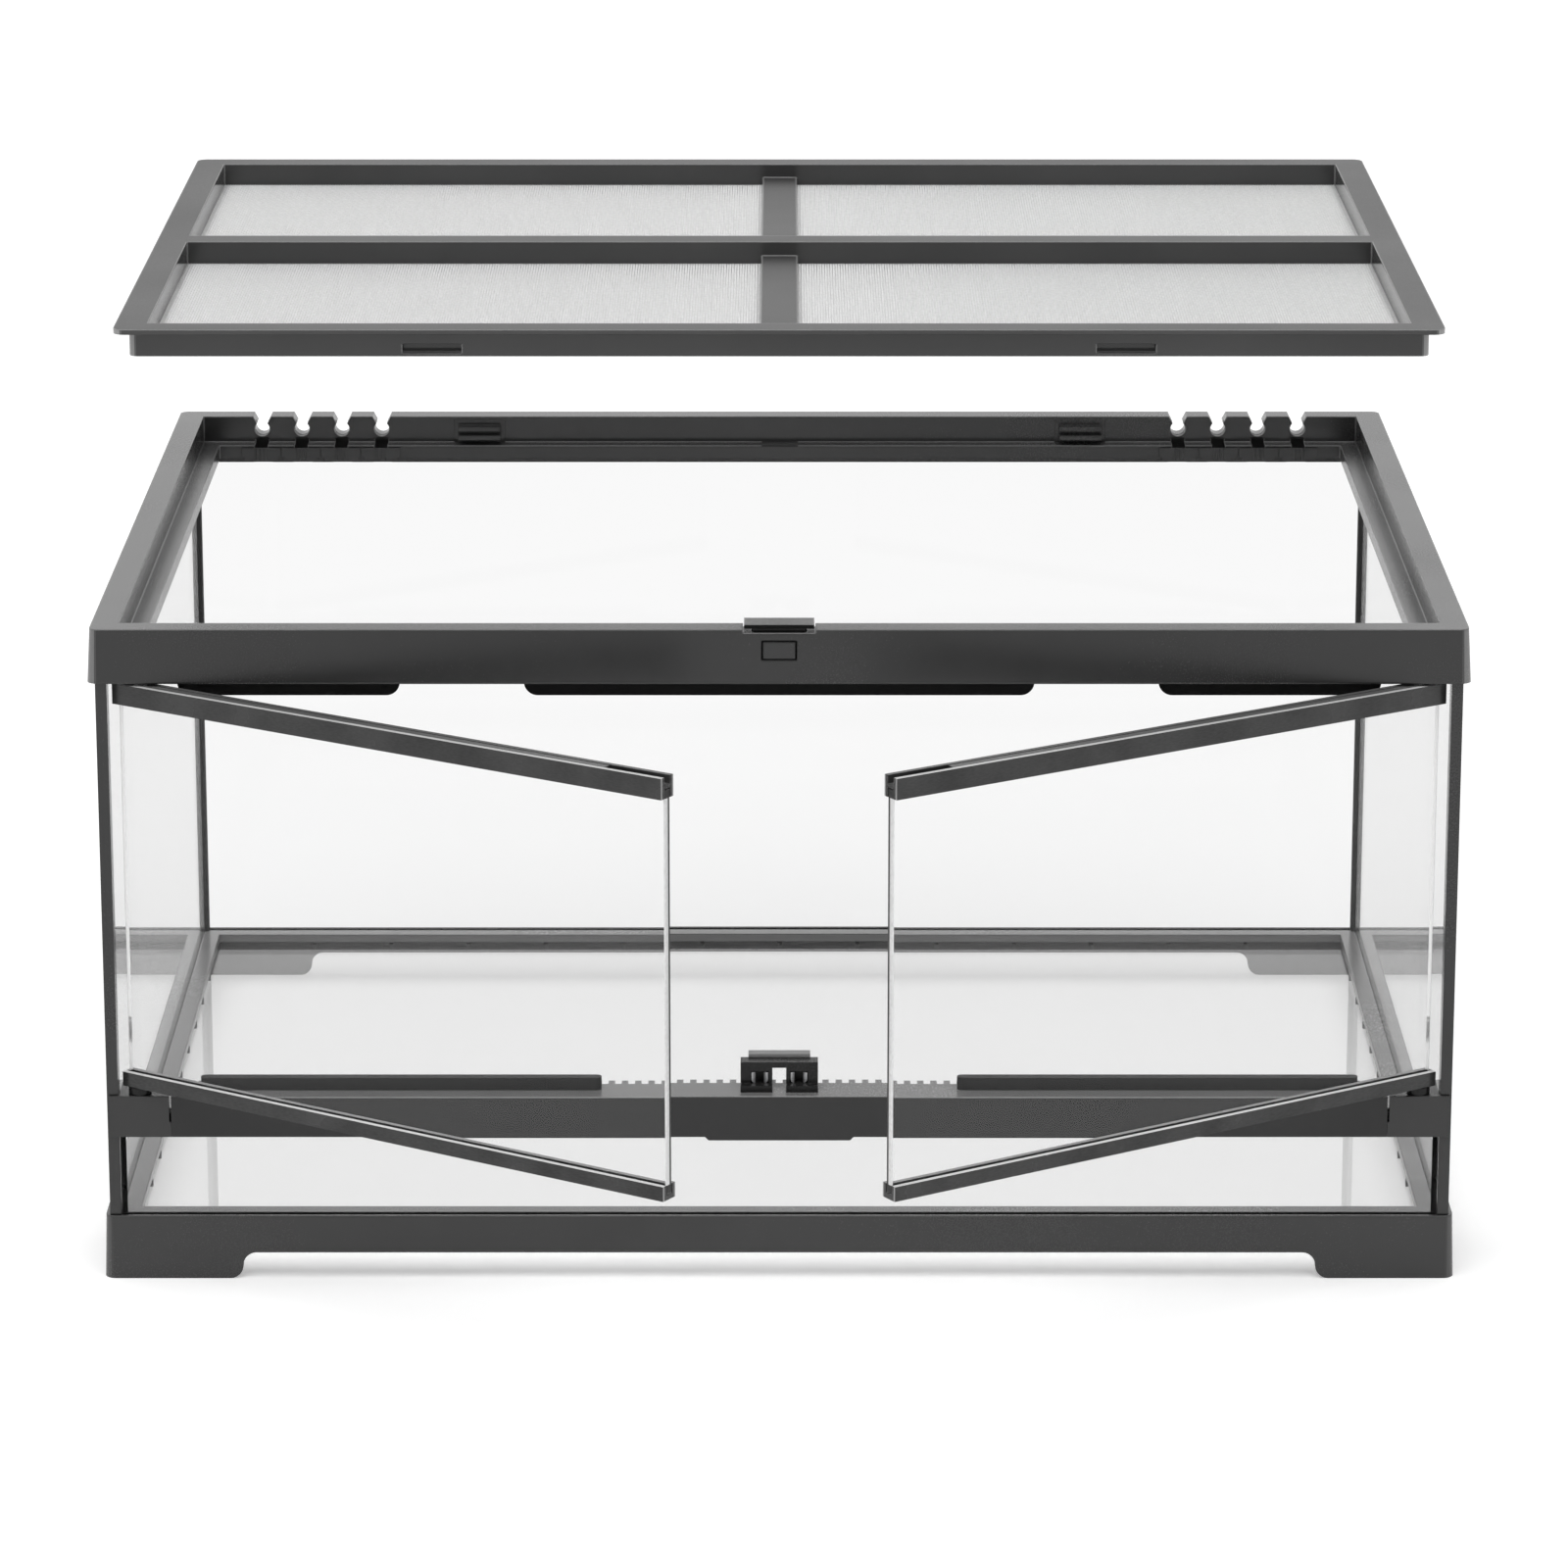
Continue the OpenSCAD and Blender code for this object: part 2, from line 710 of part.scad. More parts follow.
module catch_housing() {
    color(black) difference() {
        union() {
            block([-catch_half, catch_y, sill_z],
                [catch_half, catch_back, sill_z + catch_h]);
            block([-catch_half, catch_y - catch_foot_d, sill_z],
                [catch_half, catch_y + eps, sill_z + catch_foot_h]);
        }
        // the padlock's window
        block([-lock_half, catch_y - over, sill_z - eps],
            [lock_half, catch_back + eps, sill_z + lock_h]);
        // the pockets that take the doors' studs
        for (side = [-1, 1])
            translate([side * pocket_x - pocket_w / 2, catch_y - eps, pocket_low])
                cube([pocket_w, pocket_d, pocket_h]);
    }
}

// One U-shaped spring clip, open to the front
module catch_clip() {
    jaw_x = stud_w / 2 + jaw_play;
    for (side = [-1, 1])
        translate([side > 0 ? jaw_x : -jaw_x - jaw_t, clip_front, 0])
            cube([jaw_t, clip_d - clip_front, clip_h]);
    translate([-jaw_x - jaw_t, clip_d - jaw_t, 0])
        cube([2 * (jaw_x + jaw_t), jaw_t, clip_h]);
}

module catch_clips() {
    color(steel)
        for (side = [-1, 1])
            translate([side * pocket_x, catch_y, pocket_low])
                catch_clip();
}

module catch_backplate() {
    half = catch_half * 0.8;
    top = sill_z + catch_h;
    color(black) {
        difference() {
            block([-half, catch_back, sill_z], [half, plate_back, top]);
            block([-lock_half, catch_back - eps, sill_z - eps],
                [lock_half, plate_back + eps, sill_z + lock_h]);
        }
        block([-half, catch_back, top - eps],
            [half, catch_back + backplate_d, top + backplate_top_t]);
    }
}

// ---------- top frame ----------

// The opening of one cable inlet: hole, neck and flared mouth, cut through the rim
module inlet_cut() {
    translate([0, rim_y + over, 0]) rotate([90, 0, 0])
        linear_extrude(rim_w + 2 * over) {
            translate([0, -inlet_drop]) circle(r = inlet_r);
            translate([-neck_w / 2, -inlet_drop]) square([neck_w, inlet_drop + over]);
            polygon([[-neck_w / 2, -mouth_h], [-mouth_w / 2, eps],
                [-mouth_w / 2, over], [mouth_w / 2, over], [mouth_w / 2, eps],
                [neck_w / 2, -mouth_h]]);
        }
}

// The slot for a shutter's plate, and the slit for its neck
module shutter_cut() {
    half = shutter_w / 2 + shutter_play;
    block([-half, slot_front, frame_z - over],
        [half, slot_back, shutter_top + shutter_travel + rest_gap]);
    block([-neck_slit_half, mouth_y - over, frame_z - over],
        [neck_slit_half, slot_front + eps, slit_top]);
}

module at_inlets() {
    for (side = [-1, 1], i = [0:inlet_count - 1])
        translate([side * (rim_x - inlet_edge - i * inlet_pitch), 0, 0]) children();
}

// One hanging door stop, with rounded lower corners
module door_stop(x_low, x_high) {
    root = frame_z + stop_t;
    low = frame_z - stop_drop;
    translate([0, stop_y + stop_t, 0]) rotate([90, 0, 0]) linear_extrude(stop_t) {
        translate([x_low, low + stop_r]) square([x_high - x_low, root - low - stop_r]);
        translate([x_low + stop_r, low]) square([x_high - x_low - 2 * stop_r, root - low]);
        for (x = [x_low + stop_r, x_high - stop_r])
            translate([x, low + stop_r]) circle(r = stop_r);
    }
}

module latch_pocket() {
    window_half = button_w / 2 + button_gap;
    room_low = latch_z - button_path_r - rest_gap;
    block([-latch_half, latch_front, room_low], [latch_half, latch_back, tank_h + over]);
    // the window for the push button, whose sill follows the button's path
    block([-window_half, -rim_y - over, button_z],
        [window_half, latch_front + eps, button_z + button_h + button_gap]);
    intersection() {
        translate([-window_half, latch_y, latch_z]) rotate([0, 90, 0])
            cylinder(r = button_path_r, h = 2 * window_half);
        block([-window_half, -rim_y - over, room_low],
            [window_half, latch_front + eps, button_z + eps]);
    }
    // the notch in the rim for the hook
    block([-latch_w / 2 - latch_play, -rim_y - over, tank_h - hook_notch],
        [latch_w / 2 + latch_play, -well_y + over, tank_h + over]);
    translate([-latch_w / 2, latch_y, latch_z]) rotate([0, 90, 0])
        cylinder(r = latch_r, h = latch_w);
}

module top_frame() {
    inner_wall = room_x - pane_play;
    inlet_x = rim_x - inlet_edge - (inlet_count - 0.5) * inlet_pitch;
    solid_half = latch_half + 2 * rim_t;
    front_wall = -rim_y + rim_t;
    front_back = -well_y - rim_t;
    color(charcoal) difference() {
        union() {
            difference() {
                translate([0, 0, frame_z])
                    drafted_block(rim_x, rim_y, frame_h, corner_r, frame_flare);
                // the well for the lid and the way into the tank
                block([-well_x, -well_y, seat_z], [well_x, well_y, tank_h + over]);
                block([-mouth_x, -mouth_y, frame_z - over],
                    [mouth_x, mouth_y, seat_z + eps]);
                // the grooves for the panes and the posts
                for (side = [-1, 1])
                    on_side(side)
                        block([inner_wall, post_y - pane_play, frame_z - over],
                            [pane_x + pane_play, pane_y + pane_play, pane_top]);
                block([-pane_x, room_y - pane_play, frame_z - over],
                    [pane_x, pane_y + pane_play, pane_top]);
                // the hollow under the ledge, inside its lip
                difference() {
                    block([lip_t - inner_wall, -well_y, frame_z - over],
                        [inner_wall - lip_t, room_y - pane_play - lip_t, pane_top]);
                    block([-mouth_x - lip_t, -mouth_y - lip_t, seat_z - lip_h],
                        [mouth_x + lip_t, mouth_y + lip_t, seat_z]);
                }
                // the hollow of the rim at the sides and at the back
                for (side = [-1, 1])
                    on_side(side)
                        block([room_x, -well_y, pane_top - eps],
                            [pane_x, well_y, rim_cap_z]);
                block([-inlet_x, room_y, pane_top - eps], [inlet_x, pane_y, rim_cap_z]);
                // the hollow of the front rim, open below
                for (side = [-1, 1])
                    on_side(side)
                        block([solid_half, front_wall, frame_z - over],
                            [pivot_x - boss_half, front_back, rim_cap_z]);
            }
            door_stop(-stop_mid, stop_mid);
            door_stop(stop_in, rim_x - stop_end);
            door_stop(stop_end - rim_x, -stop_in);
        }
        at_inlets() {
            translate([0, 0, tank_h]) inlet_cut();
            shutter_cut();
        }
        latch_pocket();
        // the doors' upper bearings
        for (side = [-1, 1])
            translate([side * pivot_x, pivot_y, frame_z - over])
                cylinder(r = pivot_r + pin_play, h = over + pivot_depth + rest_gap);
        // the seats of the lid's hooks
        for (side = [-1, 1])
            translate([side * hook_x - hook_w / 2, well_y - eps, hook_z])
                cube([hook_w, hook_foot_d + eps, hook_t]);
    }
}

module lid_hook(side) {
    tip = skirt_y - hook_reach;
    bar_front = skirt_y + hook_play;
    bevel = hook_t / 2;
    color(black) on_side(side)
        translate([hook_x - hook_w / 2, 0, hook_z])
            difference() {
                union() {
                    block([0, tip, 0], [hook_w, well_y + hook_foot_d, hook_t]);
                    // the bar over the hook, the web between them and the wall plate
                    block([0, bar_front, hook_bar_up - hook_bar_t],
                        [hook_w, well_y, hook_bar_up]);
                    block([0, (bar_front + well_y) / 2, hook_t - eps],
                        [hook_w, well_y, hook_bar_up - eps]);
                    block([-hook_plate_side, well_y - hook_plate_t, seat_z - hook_z],
                        [hook_w + hook_plate_side, well_y,
                            tank_h - hook_plate_drop - hook_z]);
                }
                // the hook's tip is bevelled underneath
                translate([-eps, tip, 0]) rotate([45, 0, 0])
                    translate([0, -bevel / 2, -bevel / 2])
                        cube([hook_w + 2 * eps, bevel, bevel]);
            }
}

// A cable inlet's sliding shutter: a plate in the rim, a neck and a finger grip
module inlet_shutter(side, i) {
    x = rim_x - inlet_edge - i * inlet_pitch;
    grip_half = (inlet_pitch - grip_gap) / 2;
    color(black) on_side(side)
        translate([x, 0, 0]) {
            block([-shutter_w / 2, shutter_front, shutter_low],
                [shutter_w / 2, shutter_back, shutter_top]);
            block([-shutter_neck_w / 2, grip_back - eps, shutter_low],
                [shutter_neck_w / 2, shutter_front + eps, shutter_low + shutter_neck_h]);
            difference() {
                block([-grip_half, grip_back - grip_t, shutter_low],
                    [grip_half, grip_back, shutter_low + grip_h]);
                for (end = [-1, 1])
                    on_side(end)
                        block([grip_half - grip_notch_w, grip_back - grip_t - eps,
                            shutter_low - eps],
                            [grip_half + eps, grip_back + eps, shutter_low + grip_notch_h]);
            }
            for (rib = [-1:1])
                translate([rib * grip_rib_pitch, 0, 0])
                    block([-grip_rib_t, grip_back - grip_t - grip_rib_t, shutter_low],
                        [grip_rib_t, grip_back - grip_t + eps, shutter_low + grip_h]);
        }
}

// ---------- lid latch ----------

module lid_latch() {
    color(charcoal) difference() {
        union() {
            // the hook, which reaches over the lid's edge
            block([-latch_w / 2, hook_front, latch_low],
                [latch_w / 2, -lid_d / 2 + latch_reach, latch_low + latch_hook_t]);
            block([-stem_w / 2, stem_front, stem_low],
                [stem_w / 2, stem_back, latch_low + eps]);
            // the push button in the rim's face
            block([-button_w / 2, button_front, button_z],
                [button_w / 2, stem_front + eps, button_z + button_h]);
        }
        translate([-stem_w, latch_y, latch_z]) rotate([0, 90, 0])
            cylinder(r = latch_r + pin_play, h = 2 * stem_w);
        translate([0, 0, spring_z])
            rod_y(spring_room, spring_seat, stem_back + over);
    }
}

module lid_latch_pin() {
    color(steel)
        translate([-latch_w / 2, latch_y, latch_z]) rotate([0, 90, 0])
            cylinder(r = latch_r, h = latch_w);
}

// The push button's return spring, between the stem and the rim's inner wall
module lid_latch_spring() {
    turns = 5;
    span = latch_back - spring_seat - 2 * spring_play;
    pitch = (span - spring_wire) / (turns - 1);
    mean_r = spring_d / 2 - spring_wire / 2;
    core = spring_wire * 0.3;
    color(steel)
        translate([0, spring_seat + spring_play, spring_z]) rotate([-90, 0, 0])
            rotate_extrude() {
                for (i = [0:turns - 1])
                    translate([mean_r, spring_wire / 2 + i * pitch])
                        circle(r = spring_wire / 2, $fn = 16);
                translate([mean_r - core / 2, spring_wire / 2])
                    square([core, span - spring_wire]);
            }
}

// ---------- lid ----------

// One mesh window, as [low x, low y, high x, high y], by its sides
function window(sx, sy) = [
    sx > 0 ? long_bar_w / 2 : -window_x,
    sy > 0 ? cross_bar_w / 2 : -window_y,
    sx > 0 ? window_x : -long_bar_w / 2,
    sy > 0 ? window_y : -cross_bar_w / 2
];

module window_block(w, inset, low, high) {
    block([w[0] + inset, w[1] + inset, low], [w[2] - inset, w[3] - inset, high]);
}

module lid_frame() {
    wall_x = window_x + lid_wall_t;
    wall_y = window_y + lid_wall_t;
    hollow_top = lid_top - lid_t;
    slot_half = hook_w / 2 + slot_end_play;
    bar_low = lid_top - long_bar_drop;
    color(charcoal) difference() {
        union() {
            translate([0, 0, hollow_top])
                drafted_block(lid_w / 2, lid_d / 2, lid_t, lid_r, 0);
            translate([0, 0, lid_z])
                drafted_block(skirt_x, skirt_y, lid_h - eps, lid_r - 1, 0);
        }
        // the windows, and the narrower openings below the mesh
        for (sx = [-1, 1], sy = [-1, 1]) {
            window_block(window(sx, sy), 0, mesh_z, lid_top + over);
            window_block(window(sx, sy), mesh_flange, lid_z - over, mesh_z + eps);
        }
        // the bars from front to back lie deeper
        for (sy = [-1, 1]) {
            w = window(1, sy);
            block([-long_bar_w / 2 - eps, w[1], bar_low],
                [long_bar_w / 2 + eps, w[3], lid_top + over]);
        }
        // only the skirt reaches down to the seat, and the wall behind each slot
        difference() {
            block([-skirt_x + lid_skirt_t, -skirt_y + lid_skirt_t, lid_z - over],
                [skirt_x - lid_skirt_t, skirt_y - lid_skirt_t, mesh_low]);
            for (side = [-1, 1], turn = [0, 180])
                rotate([0, 0, turn])
                    block([side * hook_x - slot_half - lid_wall_t, window_y, lid_z + rest_gap],
                        [side * hook_x + slot_half + lid_wall_t, wall_y, mesh_low + eps]);
        }
        // the hollow of the rails and of the cross bar
        ring(skirt_x - lid_skirt_t, skirt_y - lid_skirt_t, wall_x, wall_y,
            mesh_low - eps, hollow_top);
        block([-window_x, -cross_bar_w / 2 + mesh_flange, mesh_low - eps],
            [window_x, cross_bar_w / 2 - mesh_flange, hollow_top]);
        // room for the shutters' necks under the rear skirt
        at_inlets()
            block([-neck_slit_half, skirt_y - lid_skirt_t - eps, lid_z - over],
                [neck_slit_half, skirt_y + eps, slit_top + lid_lift + rest_gap]);
        // the slots that take the hooks
        for (side = [-1, 1], turn = [0, 180])
            rotate([0, 0, turn])
                block([side * hook_x - slot_half, skirt_y - lid_skirt_t - eps,
                    hook_z - hook_play + lid_lift],
                    [side * hook_x + slot_half, skirt_y + over,
                        hook_z + hook_t + hook_play + lid_lift]);
    }
}

// The weave is too fine for a solid, so a coarser grid of openings stands for it
module lid_mesh(sx, sy) {
    w = window(sx, sy);
    // a full land lies on the flange all round and another shows beyond it
    edge = mesh_flange + mesh_land;
    step_x = (w[2] - w[0] - 2 * edge + mesh_land) / mesh_cols;
    step_y = (w[3] - w[1] - 2 * edge + mesh_land) / mesh_rows;
    color(weave) difference() {
        window_block(w, pane_play, mesh_z, mesh_z + mesh_t);
        for (i = [0:mesh_cols - 1], j = [0:mesh_rows - 1])
            translate([w[0] + edge + i * step_x, w[1] + edge + j * step_y, mesh_z - over])
                cube([step_x - mesh_land, step_y - mesh_land, mesh_t + 2 * over]);
    }
}

// ---------- doors ----------

// A door is drawn closed on the right, then turned about its pivot and mirrored
module door_pose(side) {
    on_side(side)
        translate([pivot_x, pivot_y, 0]) rotate([0, 0, door_angle])
            translate([-pivot_x, -pivot_y, 0]) children();
}

module door_glass(side) {
    half = door_glass_t / 2;
    color(clear) door_pose(side)
        block([door_free, pivot_y - half, door_pane_low],
            [pane_end - pane_play, pivot_y + half, door_pane_top]);
}

module door_top_rail(side) {
    half = door_rail_t / 2;
    slot = door_glass_t / 2 + pane_play;
    low = door_top - top_rail_h;
    color(charcoal) door_pose(side)
        difference() {
            union() {
                block([door_free, pivot_y - half, low], [door_end, pivot_y + half, door_top]);
                block([door_free, pivot_y + slot, door_top - eps],
                    [door_end, pivot_y + half, door_top + rear_wall_up]);
            }
            block([-over, pivot_y - slot, low - eps],
                [pane_end, pivot_y + slot, door_pane_top]);
            block([-over, pivot_y - slot, channel_z],
                [door_end - block_l, pivot_y + slot, door_top + over]);
            translate([pivot_x, pivot_y, door_pane_top + pin_end_t])
                cylinder(r = pivot_r, h = top_rail_h);
        }
}

module door_rail_cover(side) {
    half = door_glass_t / 2;
    color(charcoal) door_pose(side)
        block([door_free + channel_open, pivot_y - half, channel_z],
            [door_end - block_l - pane_play, pivot_y + half, door_top]);
}

module door_bottom_rail(side) {
    half = door_rail_t / 2;
    slot = door_glass_t / 2 + pane_play;
    color(charcoal) door_pose(side)
        difference() {
            union() {
                block([door_free, pivot_y - half, door_z],
                    [door_end, pivot_y + half, door_z + low_rail_h]);
                // the stud that the catch holds
                block([pocket_x - stud_w / 2, pivot_y + half - eps, stud_z],
                    [pocket_x + stud_w / 2, pivot_y + half + stud_d, stud_z + stud_h]);
            }
            block([-over, pivot_y - slot, door_pane_low],
                [pane_end, pivot_y + slot, door_z + low_rail_h + eps]);
            translate([pivot_x, pivot_y, door_z - over])
                cylinder(r = pivot_r, h = over + door_pane_low - door_z - pin_end_t);
        }
}

module door_pivots(side) {
    color(steel) door_pose(side)
        translate([pivot_x, pivot_y, 0]) {
            translate([0, 0, sill_z - pivot_depth])
                cylinder(r = pivot_r,
                    h = pivot_depth + door_pane_low - pin_end_t - sill_z);
            translate([0, 0, sill_z + rest_gap])
                cylinder(d = collar_d, h = door_low_gap - rest_gap);
            translate([0, 0, door_pane_top + pin_end_t])
                cylinder(r = pivot_r,
                    h = frame_z + pivot_depth - door_pane_top - pin_end_t);
        }
}

// ---------- the nodes ----------

base_frame();
bottom_glass();
back_glass();
side_glass(-1);  // left_glass
side_glass(1);  // right_glass
front_lower_glass();
front_post(-1);  // front_post_left
front_post(1);  // front_post_right
rear_silicone(-1);  // rear_silicone_left
rear_silicone(1);  // rear_silicone_right
front_silicone(-1);  // front_silicone_left
front_silicone(1);  // front_silicone_right
sill();
sill_bracket(-1);  // sill_bracket_left
sill_bracket(1);  // sill_bracket_right
door_seal(-1);  // door_seal_left
door_seal(1);  // door_seal_right
catch_housing();
catch_clips();
catch_backplate();
top_frame();
lid_hook(-1);  // lid_hook_left
lid_hook(1);  // lid_hook_right
lid_latch();
lid_latch_pin();
lid_latch_spring();
for (s = [0, 1], i = [0:inlet_count - 1])
    inlet_shutter(s == 0 ? -1 : 1, i);
lid_frame();
lid_mesh(-1, -1);  // lid_mesh_front_left
lid_mesh(1, -1);  // lid_mesh_front_right
lid_mesh(-1, 1);  // lid_mesh_back_left
lid_mesh(1, 1);  // lid_mesh_back_right
door_glass(-1);  // door_glass_left
door_top_rail(-1);  // door_top_rail_left
door_bottom_rail(-1);  // door_bottom_rail_left
door_rail_cover(-1);  // door_rail_cover_left
door_pivots(-1);  // door_pivots_left
door_glass(1);  // door_glass_right
door_top_rail(1);  // door_top_rail_right
door_bottom_rail(1);  // door_bottom_rail_right
door_rail_cover(1);  // door_rail_cover_right
door_pivots(1);  // door_pivots_right
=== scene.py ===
"""Looks of a front-opening glass terrarium with a lift-off screen lid.

Everything is in metres, in the frame's own axes: X to the right, Y to the back, Z up,
with the origin on the floor under the middle of the tank.
"""

import json
import math

import bmesh
import bpy
from bpy.props import FloatProperty, FloatVectorProperty, IntProperty, PointerProperty
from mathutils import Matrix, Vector


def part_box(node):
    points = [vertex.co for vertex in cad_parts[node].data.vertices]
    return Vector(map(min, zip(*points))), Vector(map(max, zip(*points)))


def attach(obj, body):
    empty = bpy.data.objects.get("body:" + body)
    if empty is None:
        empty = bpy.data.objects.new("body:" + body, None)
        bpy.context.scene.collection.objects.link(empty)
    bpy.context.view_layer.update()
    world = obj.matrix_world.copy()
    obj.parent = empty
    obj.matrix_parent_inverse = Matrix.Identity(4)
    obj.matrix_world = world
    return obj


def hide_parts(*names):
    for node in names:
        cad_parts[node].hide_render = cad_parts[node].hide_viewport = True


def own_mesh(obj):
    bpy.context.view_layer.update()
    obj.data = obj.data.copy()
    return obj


bl_info = {
    "name": "Glass terrarium",
    "version": (1, 0, 0),
    "blender": (4, 5, 0),
    "location": "View3D > Sidebar > Terrarium",
    "description": "Dresses a glass terrarium and sets up its studio",
    "category": "Object",
}

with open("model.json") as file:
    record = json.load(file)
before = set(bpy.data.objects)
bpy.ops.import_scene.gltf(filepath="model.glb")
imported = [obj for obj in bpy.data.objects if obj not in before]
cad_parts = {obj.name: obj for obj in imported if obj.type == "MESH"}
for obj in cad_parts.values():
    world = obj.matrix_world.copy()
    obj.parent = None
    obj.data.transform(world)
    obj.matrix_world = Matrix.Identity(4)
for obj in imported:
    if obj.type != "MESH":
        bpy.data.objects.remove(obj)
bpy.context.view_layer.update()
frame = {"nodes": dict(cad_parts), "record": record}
NODES = frame["nodes"]
BODY_OF = {
    node: body
    for body, members in frame["record"]["behaviour"]["bodies"].items()
    for node in members
}
SLOT_OF = {entry["node"]: entry["material_slot"] for entry in frame["record"]["subparts"]}
SIDES = ("left", "right")
SCREENS = [f"lid_mesh_{row}_{side}" for row in ("front", "back") for side in SIDES]
TANK_PANES = ["bottom_glass", "back_glass", "left_glass", "right_glass", "front_lower_glass"]
# gap between a rail's wall and its pane
RAIL_PLAY = 0.0001
# from a pane's face to where the outer skin of its rail's wall takes a painted highlight on the cut
# end
RAIL_SKIN = 0.0016
# the heights between which a door's pane shows between its rails
DOOR_CLEAR = (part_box("door_bottom_rail_left")[1].z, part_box("door_top_rail_left")[0].z)
# the top frame's lower edge, from which the door stops hang, and its gap over the doors
DOOR_GAP = 0.0009
TOP_FRAME_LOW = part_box("door_top_rail_left")[1].z + DOOR_GAP
TOP_FRAME_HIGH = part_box("top_frame")[1].z
# round the push button's hole: half the width, the heights and the reach of its edge in painted
# shade
BUTTON_HALF = 0.009
BUTTON_HEIGHTS = (0.2832, 0.2942)
BUTTON_EDGE = 0.0012


# ---------- settings ----------


def colour(name, description, default):
    """A colour that a user can change."""
    return FloatVectorProperty(
        name=name, description=description, subtype="COLOR", size=3, min=0, max=1, default=default
    )


def length(name, description, default):
    """A size in metres that a user can change."""
    return FloatProperty(
        name=name, description=description, unit="LENGTH", min=0, precision=5, default=default
    )


class TerrariumSizes(bpy.types.PropertyGroup):
    """Sizes of the pieces and of the finish."""

    wire_pitch: length("Screen pitch", "Spacing of the lid screens' wires", 0.0012)
    wire_thickness: length("Screen wire", "Diameter of the lid screens' wires", 0.00028)
    pane_seam: length("Pane edge", "Width of the ground edges of the tank's panes", 0.0004)
    door_seam: length("Door pane edge", "Width of the polished edges of the doors' panes", 0.0006)
    plastic_edge: length("Plastic edge", "Radius that moulded edges appear to have", 0.0006)
    plastic_grain: length("Plastic grain", "Size of the grain on moulded plastic", 0.0006)
    clip_strip: length("Clip strip", "Thickness of the catch's spring clips", 0.00035)
    spring_turns: IntProperty(
        name="Spring turns", description="Turns of the latch's spring", min=2, default=6
    )


class TerrariumColours(bpy.types.PropertyGroup):
    """Colours of the finishes."""

    frame_plastic: colour("Frame plastic", "Top frame, posts and latch", (0.022,) * 3)
    # painted light: level faces of the top frame and the latch are lighter than the rest, as they
    # are lit
    frame_top_painted_light: colour("Frame top", "Top of the top frame", (0.055,) * 3)
    # painted highlight on the top frame's and the latch's upward edges and rounded corners
    frame_painted_highlight: colour("Frame arris", "Polished edges and corners of the top frame", (0.19,) * 3)
    # painted light on the base frame's ledge inside the tank
    base_ledge_painted_light: colour("Base top", "Ledge of the base frame inside the tank", (0.17,) * 3)
    # painted highlight on the base frame's upward edges and rounded corners
    base_painted_highlight: colour("Base arris", "Polished edges of the base frame", (0.07,) * 3)
    base_plastic: colour("Base plastic", "Base frame", (0.029,) * 3)
    sill_plastic: colour("Sill plastic", "Front of the sill", (0.014,) * 3)
    # painted light: the sill's level faces are lighter than its front, as they are lit
    sill_top_painted_light: colour("Sill top", "Scuffed top of the sill", (0.14,) * 3)
    lid_plastic: colour("Lid plastic", "Walls of the lid's frame", (0.056,) * 3)
    # painted shade: the lid's level faces are darker than its walls
    lid_top_painted_shade: colour("Lid top", "Top of the lid's frame", (0.042,) * 3)
    # painted highlight on the upward edges and rounded corners of the lid and the sill
    lid_and_sill_painted_highlight: colour("Lid arris", "Polished edges of the lid and the sill", (0.34,) * 3)
    plate_plastic: colour("Plate plastic", "Plate behind the catch", (0.2,) * 3)
    rail_plastic: colour("Rail plastic", "Rails of the doors", (0.04,) * 3)
    # painted highlight on the top of the rails' front walls and on the skin of their cut ends, and
    # painted light on the top of their rear walls
    rail_edge_painted_highlight: colour("Rail edge", "Bare front edge of the doors' rails", (0.6,) * 3)
    rail_back_painted_light: colour("Rail back", "Top of the rails' rear wall", (0.2,) * 3)
    # the catch's own black; the same colour paints shade on the backs of its clips
    black_plastic: colour("Black plastic", "Catch and backs of its clips", (0.012,) * 3)
    sealant: colour("Sealant", "Silicone beads", (0.012,) * 3)
    rubber: colour("Rubber", "Bars on the sill", (0.008,) * 3)
    steel: colour("Steel", "Pin, clips and spring", (0.55, 0.55, 0.56))
    screen_wire: colour("Screen wire", "Wires of the lid's screens", (0.66, 0.66, 0.66))
    # painted shade: the panes are of one glass, and these tints darken or lighten each pane as it
    # shows
    back_pane: colour("Rear pane", "Tint of the rear pane", (0.93, 0.93, 0.93))
    side_pane: colour("Side panes", "Tint of the side panes", (0.8, 0.8, 0.8))
    floor_pane: colour("Floor pane", "Tint of the floor pane", (0.815, 0.815, 0.815))
    front_pane: colour("Front panes", "Tint of the doors and of the pane below", (0.99, 0.99, 0.99))
    # painted reflection on the ends of the doors' panes: a pale band with a dark line, and painted
    # shade inside the rails
    edge_painted_reflection: colour("Ground edge", "Ground edges of the doors' panes", (0.94, 0.94, 0.94))
    edge_painted_dark_line: colour("Edge line", "Dark line along those edges", (0.04, 0.04, 0.04))


# ---------- shader maths ----------


class Signal:
    """One output of a shader node, on which sums can be written as expressions."""

    def __init__(self, shader, socket):
        self.shader = shader
        self.socket = socket

    def _math(self, operation, first, second):
        return self.shader.node("ShaderNodeMath", {"operation": operation}, {0: first, 1: second})

    def __add__(self, other):
        return self._math("ADD", self, other)

    def __radd__(self, other):
        return self._math("ADD", other, self)

    def __sub__(self, other):
        return self._math("SUBTRACT", self, other)

    def __rsub__(self, other):
        return self._math("SUBTRACT", other, self)

    def __mul__(self, other):
        return self._math("MULTIPLY", self, other)

    def __rmul__(self, other):
        return self._math("MULTIPLY", other, self)


